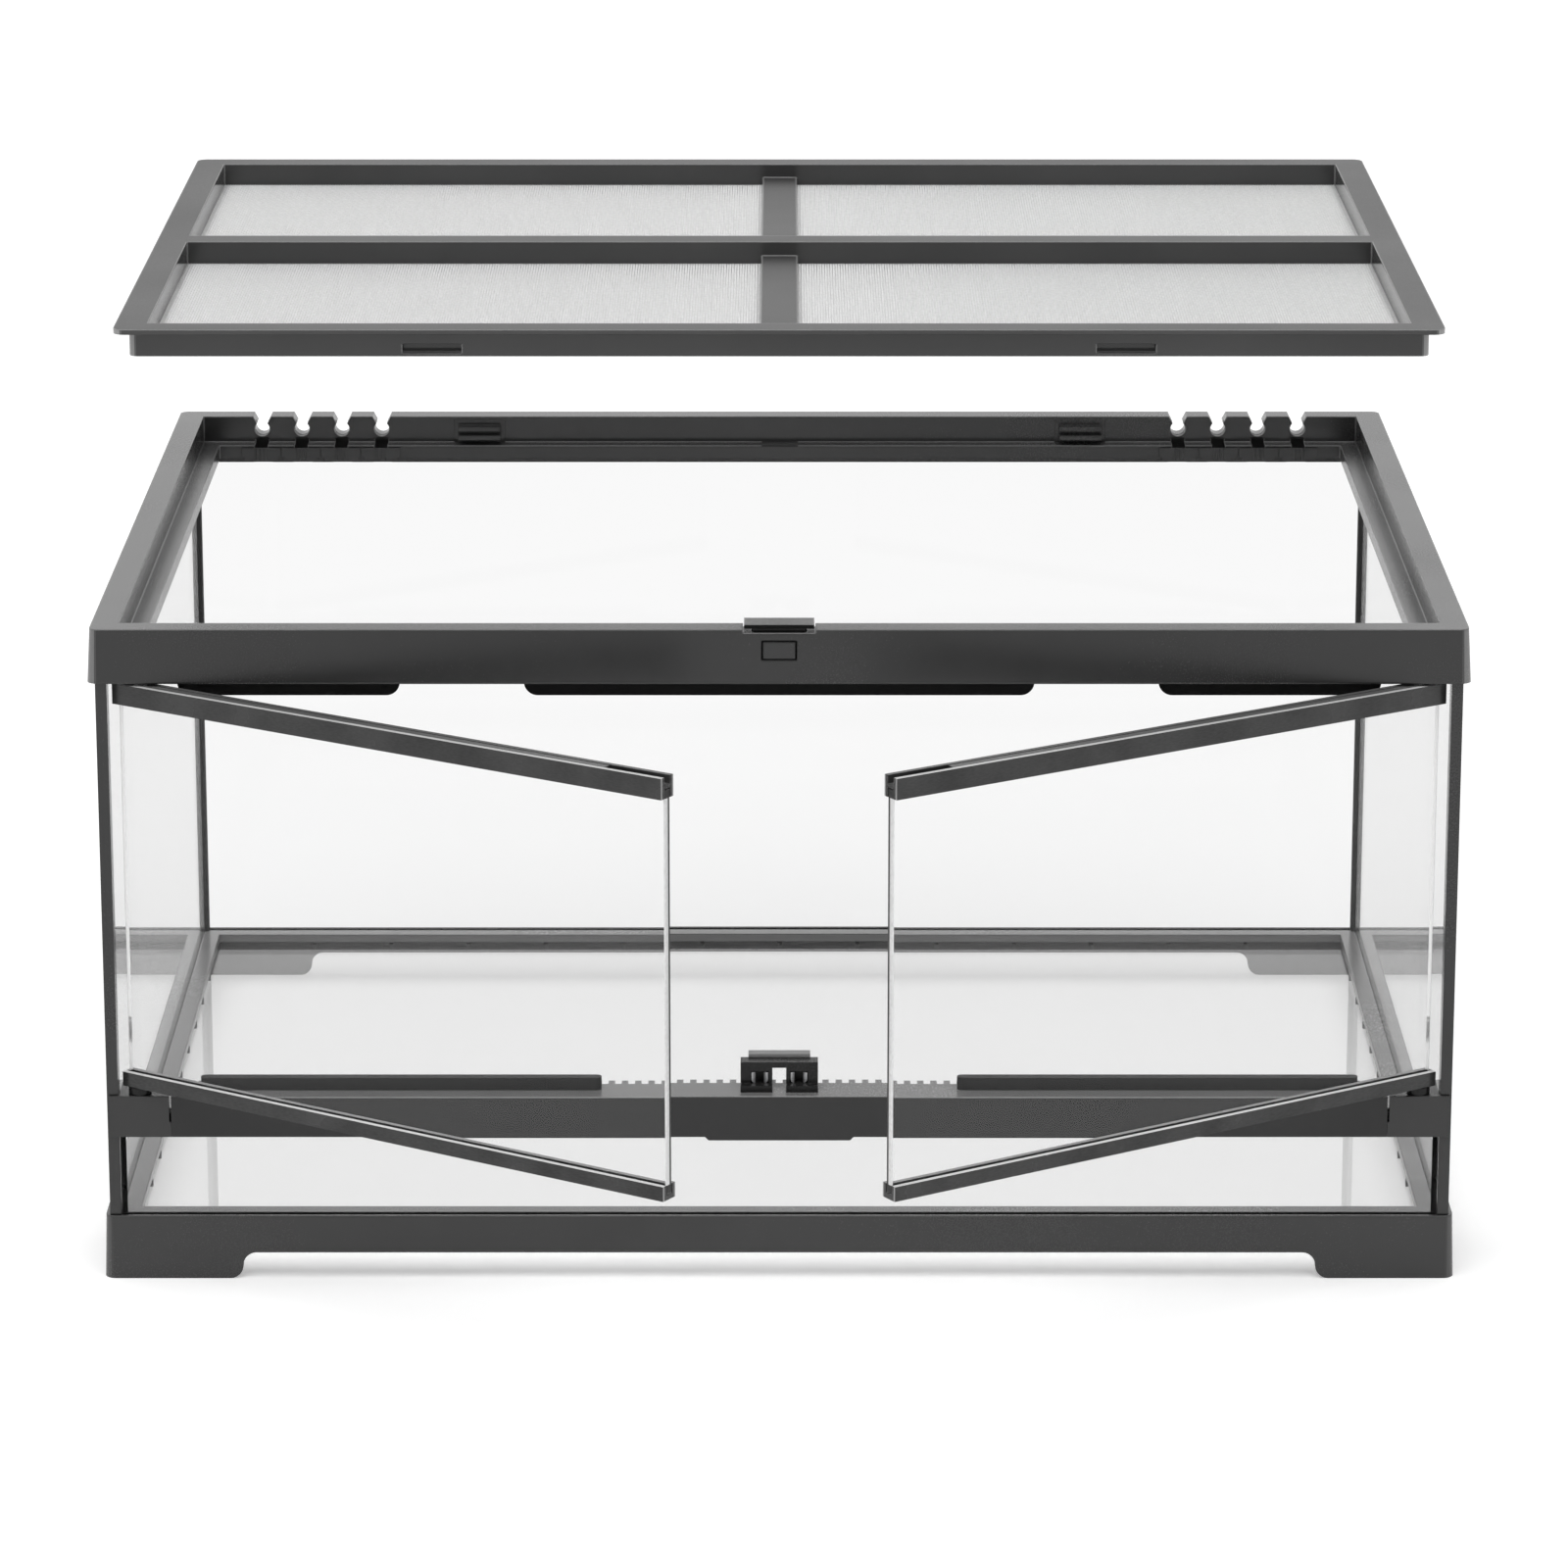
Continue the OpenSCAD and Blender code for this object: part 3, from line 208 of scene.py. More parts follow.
class Shader:
    """A material's or a world's node tree under construction."""

    def __init__(self, name):
        self.material = bpy.data.materials.new(name)
        self.material.use_nodes = True
        self.tree = self.material.node_tree
        self.tree.nodes.clear()

    @classmethod
    def on_tree(cls, tree):
        """Takes over a tree that has no material of its own."""
        made = cls.__new__(cls)
        made.tree = tree
        made.tree.nodes.clear()
        return made

    def node(self, kind, settings=None, inputs=None, output=0):
        """Adds a node, makes its settings first, fills its sockets and returns one output."""
        made = self.tree.nodes.new(kind)
        for key, value in (settings or {}).items():
            setattr(made, key, value)
        for key, value in (inputs or {}).items():
            if isinstance(value, Signal):
                self.tree.links.new(value.socket, made.inputs[key])
            else:
                made.inputs[key].default_value = value
        return Signal(self, made.outputs[output])

    def mix(self, factor, first, second):
        """Blends two colours."""
        return self.node(
            "ShaderNodeMix", {"data_type": "RGBA"}, {0: factor, 6: first, 7: second}, output=2
        )

    def place(self):
        """Object coordinates, in metres."""
        return self.node("ShaderNodeTexCoord", output="Object")

    def flat(self):
        """The direction that the face itself looks."""
        return self.node("ShaderNodeNewGeometry", output="True Normal")

    def rounded(self, radius, samples=8):
        """The direction in which a face would look if its edges were rounded."""
        return self.node("ShaderNodeBevel", {"samples": samples}, {"Radius": radius})

    def at_edge(self, rounded):
        """One at the edges that a rounded direction bends most, and nought on flat faces."""
        return self.ramp(self.dot(rounded, self.flat()), *ARRIS_COSINES)

    def ray(self, kind):
        """One for rays of a kind, and nought for others."""
        return self.node("ShaderNodeLightPath", output=f"Is {kind} Ray")

    def noise(self, size, detail=2.0, where=None):
        """Noise whose grains are about the given size."""
        return self.node(
            "ShaderNodeTexNoise",
            {"noise_dimensions": "3D"},
            {"Vector": where or self.place(), "Scale": 1 / size, "Detail": detail},
        )

    def spread(self, signal, low, high):
        """Maps noise, which keeps near a half, onto a range."""
        return self.node(
            "ShaderNodeMapRange",
            {"clamp": True},
            {"Value": signal, "From Min": 0.3, "From Max": 0.7, "To Min": low, "To Max": high},
        )

    def clouded(self, noise, three, low, high):
        """A colour whose brightness wanders with noise between two shares of it."""
        return self.mix(self.spread(noise, 0, 1), dimmer(three, low), dimmer(three, high))

    def dot(self, first, second):
        return self.node(
            "ShaderNodeVectorMath",
            {"operation": "DOT_PRODUCT"},
            {0: first, 1: second},
            output="Value",
        )

    def more(self, first, second):
        """One where the first value is the greater, and nought elsewhere."""
        return self.node("ShaderNodeMath", {"operation": "GREATER_THAN"}, {0: first, 1: second})

    def upright(self, vector):
        """The vertical part of a place or direction."""
        return self.node("ShaderNodeSeparateXYZ", inputs={0: vector}, output="Z")

    def ramp(self, value, start, end):
        """Nought at the start and one at the end."""
        return self.node(
            "ShaderNodeMapRange",
            {"clamp": True},
            {"Value": value, "From Min": start, "From Max": end},
        )

    def within(self, half_x, soft_x, half_y, soft_y):
        """One inside an upright box round the origin, by way of edges of the given softness."""
        where = self.place()
        inside = 1.0
        for axis, half, soft in (((1, 0, 0), half_x, soft_x), ((0, 1, 0), half_y, soft_y)):
            place = self.dot(where, axis)
            edge = half - max(soft, LEAST_SOFT)
            inside = self.ramp(place * place, half**2, edge**2) * inside
        return inside

    def surface(self, shader):
        """Ends the tree with this shader and returns the material."""
        out = self.tree.nodes.new("ShaderNodeOutputMaterial")
        self.tree.links.new(shader.socket, out.inputs["Surface"])
        return self.material


def rgba(three):
    return (*three, 1.0)


def dimmer(three, share):
    """The same colour at a share of its brightness."""
    return (*(channel * share for channel in three), 1.0)


# ---------- materials ----------

# how closely a rounded direction follows the face's own, where an edge begins and where it is full
ARRIS_COSINES = (0.97, 0.88)
# how askew an upright face stands, where a corner's rounding and its painted highlight begin and
# where they are full
CORNER_SKEW = (0.05, 0.17)
# how far up a level face looks
LEVEL_UP = 0.7
# the least width of a mask's edge
LEAST_SOFT = 1e-4
# sizes of the cloudy flow in mouldings and of the cloud and lines on extrusions
FLOW_SIZE = 0.09
CLOUD_SIZE = 0.03
LINE_SIZE = 0.0022
# how deep a rail's cut end, which takes a painted highlight, reaches
CUT_END = 0.00015
# where the dark line of the painted reflection on a door pane's end begins and is full, as shares
# of the pane's thickness
LINE_FROM, LINE_FULL = 0.54, 0.62


def moulded_plastic(
    name,
    base,
    edge,
    grain,
    roughness=0.24,
    shine=0.5,
    top=None,
    top_at=None,
    arris=None,
    arris_low=-0.2,
    walls=None,
    black=None,
):
    """Fine-textured moulded plastic with softened edges and faint flow marks.

    top is the colour of level faces, a painted light or shade, and arris that of rounded corners
    and of the edges that look up by arris_low or more, a painted highlight, where these differ, and
    walls the roughness of upright faces where those are smooth. top_at and black are given the
    shader, and mark what has the top's colour, if that isn't the level faces, and what is painted
    matt black as shade.
    """
    s = Shader(name)
    flow = s.noise(FLOW_SIZE, detail=3)
    speck = s.noise(grain, detail=1)
    flat = s.flat()
    level = s.more(s.upright(flat), LEVEL_UP)
    rounded = s.rounded(edge if arris is None else 2 * edge)
    bump = s.node(
        "ShaderNodeBump",
        inputs={
            "Strength": 0.4,
            "Distance": 0.00002,
            "Height": speck if walls is None else speck * level,
            "Normal": rounded,
        },
    )
    tint = s.clouded(flow, base, 0.86, 1.16)
    # painted light or shade: level faces, or those that top_at marks, take the top colour
    if top is not None:
        topped = level if top_at is None else top_at(s)
        tint = s.mix(topped, tint, s.clouded(flow, top, 0.9, 1.1))
    # painted highlight on upward edges and on rounded upright corners
    if arris is not None:
        near = s.at_edge(rounded) * s.more(s.upright(rounded), arris_low)
        askew = s.dot(flat, (1, 0, 0)) * s.dot(flat, (0, 1, 0))
        tint = s.mix(near + s.ramp(askew * askew, *CORNER_SKEW), tint, rgba(arris))
    rough = s.spread(flow * 0.6 + speck * 0.4, roughness - 0.06, roughness + 0.06)
    if walls is not None:
        rough = rough * level + walls * (1 - level)
    body = s.node(
        "ShaderNodeBsdfPrincipled",
        inputs={
            "Base Color": tint,
            "Roughness": rough,
            "Normal": bump,
            "IOR": 1.5,
            "Specular IOR Level": shine,
        },
    )
    if black is None:
        return s.surface(body)
    # painted shade: what black marks takes a darker, matt copy of the plastic
    shade = s.node(
        "ShaderNodeBsdfPrincipled",
        inputs={
            "Base Color": s.clouded(flow, base, 0.3, 0.4),
            "Roughness": s.spread(speck, 0.5, 0.6),
            "Normal": bump,
            "Specular IOR Level": 0.08,
        },
    )
    return s.surface(s.node("ShaderNodeMixShader", inputs={0: black(s), 1: body, 2: shade}))


def base_ledge(s):
    """Marks the base frame's ledge inside the standing panes, above the floor pane's underside, for
    its painted light.
    """
    inside = s.within(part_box("right_glass")[0].x, 0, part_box("back_glass")[0].y, 0)
    not_below = s.more(s.upright(s.flat()), -0.5)
    return inside * not_below * s.more(s.upright(s.place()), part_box("bottom_glass")[0].z)


def button_gap(s):
    """Marks the edges of the lid latch's push button and of its hole, which lie in shade."""
    where = s.place()
    aside, height = s.dot(where, (1, 0, 0)), s.upright(where)
    beside = s.more(BUTTON_HALF**2, aside * aside)
    level = s.more(height, BUTTON_HEIGHTS[0]) * s.more(BUTTON_HEIGHTS[1], height)
    return s.at_edge(s.rounded(BUTTON_EDGE)) * beside * level


def top_frame_shade(s):
    """Marks the painted shade on the top frame: the door stops, which hang from it, and the edges
    of the button's hole.
    """
    return s.more(TOP_FRAME_LOW, s.upright(s.place())) + button_gap(s)


def latch_shade(s):
    """Marks the painted shade on the latch: the edges of the push button and the front of the nose,
    which stands over the rim.
    """
    facing = s.dot(s.flat(), (0, -1, 0))
    return s.more(s.upright(s.place()), TOP_FRAME_HIGH) * s.more(facing, 0.5) + button_gap(s)


def drawn_rail(name, base, painted_highlight, back, edge, lie):
    """Dark extrusion, cloudy and faintly lined.

    The top of its front wall and the outer skin of its cut end carry a painted highlight, and the
    top of its rear wall carries painted light.
    """
    s = Shader(name)
    where = s.place()
    stretched = s.node("ShaderNodeMapping", inputs={"Vector": where, "Scale": (1.0, 1.0, 5.0)})
    lines = s.noise(LINE_SIZE, detail=3, where=stretched)
    cloud = s.noise(CLOUD_SIZE, detail=4, where=where)
    rounded = s.rounded(edge, samples=6)
    bump = s.node(
        "ShaderNodeBump",
        inputs={"Strength": 0.3, "Distance": 0.00001, "Height": lines, "Normal": rounded},
    )
    level = s.more(s.upright(s.flat()), 0.5)
    behind = s.dot(where, lie.across)
    front = s.more(lie.front - RAIL_PLAY, behind)
    end = s.more(s.dot(where, lie.along), lie.free_end - CUT_END)
    rear = lie.front + lie.depth
    # painted highlight on the top of the front wall and on the outer skin of the cut end, and
    # painted light on the top of the rear wall
    skin = s.more(lie.front - RAIL_SKIN, behind) + s.more(behind, rear + RAIL_SKIN)
    cloudy = s.clouded(lines * 0.3 + cloud * 0.7, base, 0.4, 1.5)
    tops = s.mix(level, cloudy, s.mix(front, rgba(back), rgba(painted_highlight)))
    body = s.node(
        "ShaderNodeBsdfPrincipled",
        inputs={
            "Base Color": s.mix(end, tops, s.mix(skin, rgba(base), dimmer(painted_highlight, 0.6))),
            "Roughness": s.spread(cloud, 0.18, 0.3),
            "Normal": bump,
            "IOR": 1.4,
        },
    )
    return s.surface(body)


def soft_black(name, base, roughness):
    """Silicone or rubber: a smooth, slightly uneven skin."""
    s = Shader(name)
    skin = s.noise(0.004, detail=3)
    bump = s.node("ShaderNodeBump", inputs={"Strength": 0.4, "Distance": 0.0001, "Height": skin})
    tint = s.clouded(skin, base, 0.8, 1.2)
    rough = s.spread(skin, roughness - 0.05, roughness + 0.05)
    body = s.node(
        "ShaderNodeBsdfPrincipled",
        inputs={"Base Color": tint, "Roughness": rough, "Normal": bump, "IOR": 1.42},
    )
    return s.surface(body)


def bright_metal(name, base, roughness, grain):
    """Drawn or brushed metal."""
    s = Shader(name)
    brushed = s.noise(grain, detail=2)
    tint = s.clouded(brushed, base, 0.9, 1.08)
    rough = s.spread(brushed, roughness - 0.06, roughness + 0.06)
    body = s.node(
        "ShaderNodeBsdfPrincipled",
        inputs={"Base Color": tint, "Roughness": rough, "Metallic": 1.0},
    )
    return s.surface(body)


def clear_pane(name, tint):
    """Float glass that lets the lamps' light through."""
    s = Shader(name)
    wave = s.noise(0.35, detail=1)
    bump = s.node("ShaderNodeBump", inputs={"Strength": 0.02, "Distance": 0.0005, "Height": wave})
    glass = s.node(
        "ShaderNodeBsdfPrincipled",
        inputs={
            "Base Color": rgba(tint),
            "Roughness": 0.0,
            "IOR": 1.5,
            "Transmission Weight": 1.0,
            "Specular Tint": (0.15, 0.15, 0.15, 1.0),
            "Normal": bump,
        },
    )
    open_to_lamps = s.node("ShaderNodeBsdfTransparent", inputs={"Color": (0.97, 0.97, 0.97, 1.0)})
    by_ray = s.node("ShaderNodeMixShader", inputs={0: s.ray("Shadow"), 1: glass, 2: open_to_lamps})
    return s.surface(by_ray)


def painted_edge_glass(name, base, dark, lie, line_dark, cover):
    """The end of a door's pane: a painted reflection, pale with a dark line by its rear arris, and
    painted shade inside the rails.

    line_dark is the line's strength and cover how much of what lies behind the edge it hides.
    """
    s = Shader(name)
    where = s.place()
    edge_speck = s.noise(0.0015, detail=2)
    line = s.ramp(
        s.dot(where, lie.across),
        lie.front + LINE_FROM * lie.depth,
        lie.front + LINE_FULL * lie.depth,
    )
    height = s.upright(where)
    # painted shade where the pane's end sits inside the rails
    rail_shade = s.more(DOOR_CLEAR[0], height) + s.more(height, DOOR_CLEAR[1])
    pale_reflection = s.clouded(edge_speck, base, 0.9, 1.05)
    lined = s.mix(line * line_dark, pale_reflection, rgba(dark))
    body = s.node(
        "ShaderNodeBsdfPrincipled",
        inputs={
            "Base Color": s.mix(rail_shade, lined, dimmer(dark, 0.2)),
            "Roughness": s.spread(edge_speck, 0.35, 0.55),
            "Alpha": cover,
        },
    )
    return s.surface(body)


# The floor's own white and its share of the light that falls on it, by who looks at it, and through
# glass also by whether the tank stands over it, where its glow is painted light
FLOOR_BOUNCE = 0.78
FLOOR_SEEN = (0.3, 0.86)
THROUGH_GLASS = (0.5, 0.5)
THROUGH_TANK_PAINTED_LIGHT = (0.86, 0.14)
# Painted light that the floor glows with under the tank, how far in from the base
# frame's outside that begins, and over what width
UNDER_TANK_PAINTED_LIGHT = 0.32
UNDER_FROM, UNDER_SOFT = 0.009, 0.019


def studio_floor(name):
    """White floor that keeps soft shadows, with painted light under the tank."""
    s = Shader(name)
    through = s.ray("Transmission")
    # a ray through clear glass counts as glossy too
    glossy = s.ray("Glossy") * (1 - through)
    direct = s.ray("Camera") + glossy
    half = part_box("base_frame")[1]
    under = s.within(half.x - UNDER_FROM, UNDER_SOFT, half.y - UNDER_FROM, UNDER_SOFT)
    # painted light under the tank: the floor glows more there, and seen through glass keeps less of
    # its shadows
    through_glow, through_share = (
        under * (tank - glass) + glass for tank, glass in zip(THROUGH_TANK_PAINTED_LIGHT, THROUGH_GLASS)
    )
    glow = direct * (under * UNDER_TANK_PAINTED_LIGHT + FLOOR_SEEN[0]) + through * through_glow
    share = (
        FLOOR_BOUNCE
        + direct * (FLOOR_SEEN[1] - FLOOR_BOUNCE)
        + through * (through_share - FLOOR_BOUNCE)
    )
    matt = s.node("ShaderNodeBsdfDiffuse", inputs={"Color": share})
    light = s.node("ShaderNodeEmission", inputs={"Color": glow, "Strength": 1.0})
    return s.surface(s.node("ShaderNodeAddShader", inputs={0: matt, 1: light}))


# ---------- meshes ----------

# how near corners lie that are merged, the bend under which faces are joined, and that over which
# an edge is rounded off
MERGE_REACH = 1e-6
FLAT_BEND = math.radians(1)
SHARP_BEND = math.radians(40)
# the least that a pane's end faces look along it, and the most that they look up or down
END_FACING = 0.35


class DoorLie:
    """How a door's pane lies, by level directions and places along them.

    across points to the pane's back and along to its free end.
    """

    def __init__(self, side):
        mesh = NODES[f"door_glass_{side}"].data
        broad = max(mesh.polygons, key=lambda face: face.area * (1 - abs(face.normal.z)))
        self.across = Vector((broad.normal.x, broad.normal.y, 0)).normalized()
        if self.across.y < 0:
            self.across.negate()
        self.along = Vector((-self.across.y, self.across.x, 0))
        if (self.along.x > 0) != (side == "left"):
            self.along.negate()
        depths = [self.across.dot(vert.co) for vert in mesh.vertices]
        self.front = min(depths)
        self.depth = max(depths) - self.front
        self.free_end = max(self.along.dot(vert.co) for vert in mesh.vertices)


def dress(piece, *materials):
    """Gives a piece its materials, in place of any that it has."""
    piece.data.materials.clear()
    for material in materials:
        piece.data.materials.append(material)


def new_piece(name, mesh):
    made = bpy.data.objects.new(name, mesh)
    bpy.context.scene.collection.objects.link(made)
    return made


def to_mesh(bm, name):
    """Turns a finished bmesh into a mesh of the given name."""
    mesh = bpy.data.meshes.new(name)
    bm.to_mesh(mesh)
    bm.free()
    return mesh


def bevelled_copy(node, width):
    """A copy of a frame node's mesh, in whole faces, with its sharp edges rounded off."""
    bm = bmesh.new()
    bm.from_mesh(NODES[node].data)
    bmesh.ops.remove_doubles(bm, verts=bm.verts, dist=MERGE_REACH)
    bmesh.ops.dissolve_limit(
        bm,
        angle_limit=FLAT_BEND,
        verts=bm.verts,
        edges=bm.edges,
        use_dissolve_boundaries=False,
    )
    sharp = [
        edge for edge in bm.edges if edge.is_manifold and edge.calc_face_angle(0) > SHARP_BEND
    ]
    bmesh.ops.bevel(
        bm,
        geom=sharp,
        offset=width,
        segments=2,
        profile=0.5,
        affect="EDGES",
        clamp_overlap=True,
    )
    return to_mesh(bm, node + "_mesh")


def dress_painted_ends(mesh, along):
    """Gives a pane's free end its second material and its hinged end its third, which carry the
    painted reflection.
    """
    for face in mesh.polygons:
        facing = face.normal.dot(along)
        if abs(facing) > END_FACING and abs(face.normal.z) < END_FACING:
            face.material_index = 1 if facing > 0 else 2


def finish_piece(piece, node, *materials):
    """Gives a piece its materials and lets it stand for a frame node."""
    dress(piece, *materials)
    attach(piece, BODY_OF[node])
    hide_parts(node)


def plain_mesh(piece):
    """Turns what a piece's modifiers make into its own mesh."""
    evaluated = piece.evaluated_get(bpy.context.evaluated_depsgraph_get())
    mesh = bpy.data.meshes.new_from_object(evaluated)
    piece.modifiers.clear()
    piece.data = mesh


class Tree:
    """A Geometry Nodes tree under construction."""

    def __init__(self, name, inputs):
        self.tree = bpy.data.node_groups.new(name, "GeometryNodeTree")
        self.tree.interface.new_socket(
            "Geometry", in_out="OUTPUT", socket_type="NodeSocketGeometry"
        )
        self.identifier = {}
        for label, kind in inputs.items():
            socket = self.tree.interface.new_socket(label, in_out="INPUT", socket_type=kind)
            self.identifier[label] = socket.identifier
        self.source = self.tree.nodes.new("NodeGroupInput")

    def value(self, label):
        return self.source.outputs[label]

    def node(self, kind, settings=None, inputs=None):
        """Adds a node, makes its settings first and fills its sockets."""
        made = self.tree.nodes.new(kind)
        for key, value in (settings or {}).items():
            setattr(made, key, value)
        for key, value in (inputs or {}).items():
            if isinstance(value, bpy.types.NodeSocket):
                self.tree.links.new(value, made.inputs[key])
            else:
                made.inputs[key].default_value = value
        return made

    def maths(self, operation, first, second):
        """A number worked out from two others."""
        made = self.node("ShaderNodeMath", {"operation": operation}, {0: first, 1: second})
        return made.outputs[0]

    def point(self, x=0.0, y=0.0, z=0.0):
        return self.node("ShaderNodeCombineXYZ", inputs={"X": x, "Y": y, "Z": z}).outputs[0]

    def finish(self, geometry):
        """Realizes the instances, sets the material and ends the tree."""
        solid = self.node("GeometryNodeRealizeInstances", inputs={"Geometry": geometry}).outputs[0]
        painted = self.node(
            "GeometryNodeSetMaterial",
            inputs={"Geometry": solid, "Material": self.value("Material")},
        )
        out = self.tree.nodes.new("NodeGroupOutput")
        self.tree.links.new(painted.outputs[0], out.inputs[0])

    def wire(self, curve, sides):
        """A round wire along a curve, by its number of sides, as thick as the Wire input says."""
        radius = self.maths("MULTIPLY", self.value("Wire"), 0.5)
        ring = self.node(
            "GeometryNodeCurvePrimitiveCircle", inputs={"Resolution": sides, "Radius": radius}
        )
        return self.node(
            "GeometryNodeCurveToMesh",
            inputs={"Curve": curve.outputs[0], "Profile Curve": ring.outputs[0], "Fill Caps": True},
        ).outputs[0]

    def grow(self, name, values):
        """A new piece that holds what the tree makes from these values, as a plain mesh."""
        piece = new_piece(name, bpy.data.meshes.new(name + "_seed"))
        modifier = piece.modifiers.new("shape", "NODES")
        modifier.node_group = self.tree
        for label, value in values.items():
            modifier[self.identifier[label]] = value
        plain_mesh(piece)
        return piece


# sides of the screens' wires and of the spring's, and the spring's steps in a turn
SCREEN_WIRE_SIDES = 6
SPRING_WIRE_SIDES = 8
SPRING_STEPS = 20


def wire_layer(tree, along, across, height, along_x):
    """Straight wires side by side, centred on the origin, at one height."""
    run, side = ("x", "y") if along_x else ("y", "x")
    half = tree.maths("MULTIPLY", along, 0.5)
    back = tree.maths("MULTIPLY", along, -0.5)
    start, end = (tree.point(**{run: reach, "z": height}) for reach in (back, half))
    line = tree.node("GeometryNodeCurvePrimitiveLine", inputs={"Start": start, "End": end})
    pitch = tree.value("Pitch")
    spaces = tree.maths("FLOOR", tree.maths("DIVIDE", across, pitch), 0)
    first = tree.maths("MULTIPLY", tree.maths("MULTIPLY", spaces, pitch), -0.5)
    row = tree.node(
        "GeometryNodeMeshLine",
        inputs={
            "Count": tree.maths("ADD", spaces, 1),
            "Start Location": tree.point(**{side: first}),
            "Offset": tree.point(**{side: pitch}),
        },
    )
    return tree.node(
        "GeometryNodeInstanceOnPoints",
        inputs={"Points": row.outputs[0], "Instance": tree.wire(line, SCREEN_WIRE_SIDES)},
    ).outputs[0]


def screen_tree():
    """A screen of crossing wires, by its width, depth, pitch and wire."""
    tree = Tree(
        "wire_screen",
        {
            "Width": "NodeSocketFloat",
            "Depth": "NodeSocketFloat",
            "Pitch": "NodeSocketFloat",
            "Wire": "NodeSocketFloat",
            "Centre": "NodeSocketVector",
            "Material": "NodeSocketMaterial",
        },
    )
    width, depth, wire = tree.value("Width"), tree.value("Depth"), tree.value("Wire")
    low = wire_layer(tree, width, depth, tree.maths("MULTIPLY", wire, -0.5), True)
    high = wire_layer(tree, depth, width, tree.maths("MULTIPLY", wire, 0.5), False)
    both = tree.node("GeometryNodeJoinGeometry")
    for layer in (low, high):
        tree.tree.links.new(layer, both.inputs[0])
    moved = tree.node(
        "GeometryNodeTransform",
        inputs={"Geometry": both.outputs[0], "Translation": tree.value("Centre")},
    )
    tree.finish(moved.outputs[0])
    return tree


def spring_tree():
    """A coil spring along Y, by its turns, radius, length and wire."""
    tree = Tree(
        "coil_spring",
        {
            "Turns": "NodeSocketFloat",
            "Radius": "NodeSocketFloat",
            "Length": "NodeSocketFloat",
            "Wire": "NodeSocketFloat",
            "Start": "NodeSocketVector",
            "Material": "NodeSocketMaterial",
        },
    )
    coil = tree.node(
        "GeometryNodeCurveSpiral",
        inputs={
            "Resolution": SPRING_STEPS,
            "Rotations": tree.value("Turns"),
            "Start Radius": tree.value("Radius"),
            "End Radius": tree.value("Radius"),
            "Height": tree.value("Length"),
        },
    )
    turned = tree.node(
        "GeometryNodeTransform",
        inputs={
            "Geometry": tree.wire(coil, SPRING_WIRE_SIDES),
            "Translation": tree.value("Start"),
            "Rotation": (-math.pi / 2, 0, 0),
        },
    )
    tree.finish(turned.outputs[0])
    return tree


# ---------- operators ----------

# the catch's and the rails' edges against those of other plastic parts
FINE_EDGE = 0.6
# grain of the pin's and the spring's steel
STEEL_GRAIN = 0.0008


def sizes():
    return bpy.context.scene.terrarium_sizes


def colours():
    return bpy.context.scene.terrarium_colours


class TERRARIUM_OT_plastics(bpy.types.Operator):
    """Finish the frames, the sill, the lid, the rails and the small plastic parts"""

    bl_idname = "terrarium.plastics"
    bl_label = "Plastics"

    def execute(self, context):
        look, size = colours(), sizes()
        finish = (size.plastic_edge, size.plastic_grain)
        fine_edge = size.plastic_edge * FINE_EDGE
        finishes = {
            "frame_plastic": moulded_plastic("charcoal moulding", look.frame_plastic, *finish),
            "black_plastic": moulded_plastic(
                "black moulding", look.black_plastic, fine_edge, size.plastic_grain, shine=0.2
            ),
            "sealant": soft_black("silicone", look.sealant, roughness=0.32),
            "seal_rubber": moulded_plastic(
                "rubber bar", look.rubber, *finish, roughness=0.5, shine=0.3
            ),
            "pin_steel": bright_metal(
                "stainless steel", look.steel, roughness=0.28, grain=STEEL_GRAIN
            ),
        }
        for node, piece in NODES.items():
            if SLOT_OF[node] in finishes:
                dress(piece, finishes[SLOT_OF[node]])
        for side in SIDES:
            for place, parts, rear_top_light_share in (
                ("top", ("top_rail", "rail_cover"), 0.5),
                ("bottom", ("bottom_rail",), 1.0),
            ):
                rail = drawn_rail(
                    f"{side} {place} rail", look.rail_plastic, look.rail_edge_painted_highlight,
                    [channel * rear_top_light_share for channel in look.rail_back_painted_light],
                    fine_edge, DoorLie(side),
                )
                for part in parts:
                    dress(NODES[f"door_{part}_{side}"], rail)
        own = {
            "top_frame": moulded_plastic(
                "top frame moulding", look.frame_plastic, *finish,
                top=look.frame_top_painted_light, arris=look.frame_painted_highlight, black=top_frame_shade,
            ),
            "base_frame": moulded_plastic(
                "base moulding", look.base_plastic, *finish,
                top=look.base_ledge_painted_light, top_at=base_ledge, arris=look.base_painted_highlight,
            ),
            "sill": moulded_plastic(
                "sill moulding", look.sill_plastic, *finish, shine=0.4,
                top=look.sill_top_painted_light, arris=look.lid_and_sill_painted_highlight, arris_low=0.3, walls=0.26,
            ),
            "lid_frame": moulded_plastic(
                "lid moulding", look.lid_plastic, *finish, roughness=0.42, shine=0.4,
                top=look.lid_top_painted_shade, arris=look.lid_and_sill_painted_highlight, walls=0.1,
            ),
            "lid_latch": moulded_plastic(
                "latch moulding", look.frame_plastic, *finish,
                top=look.frame_top_painted_light, arris=look.frame_painted_highlight, black=latch_shade,
            ),
            "catch_backplate": moulded_plastic(
                "grey plate", look.plate_plastic, *finish, roughness=0.4
            ),
        }
        for node, material in own.items():
            dress(NODES[node], material)
        return {"FINISHED"}


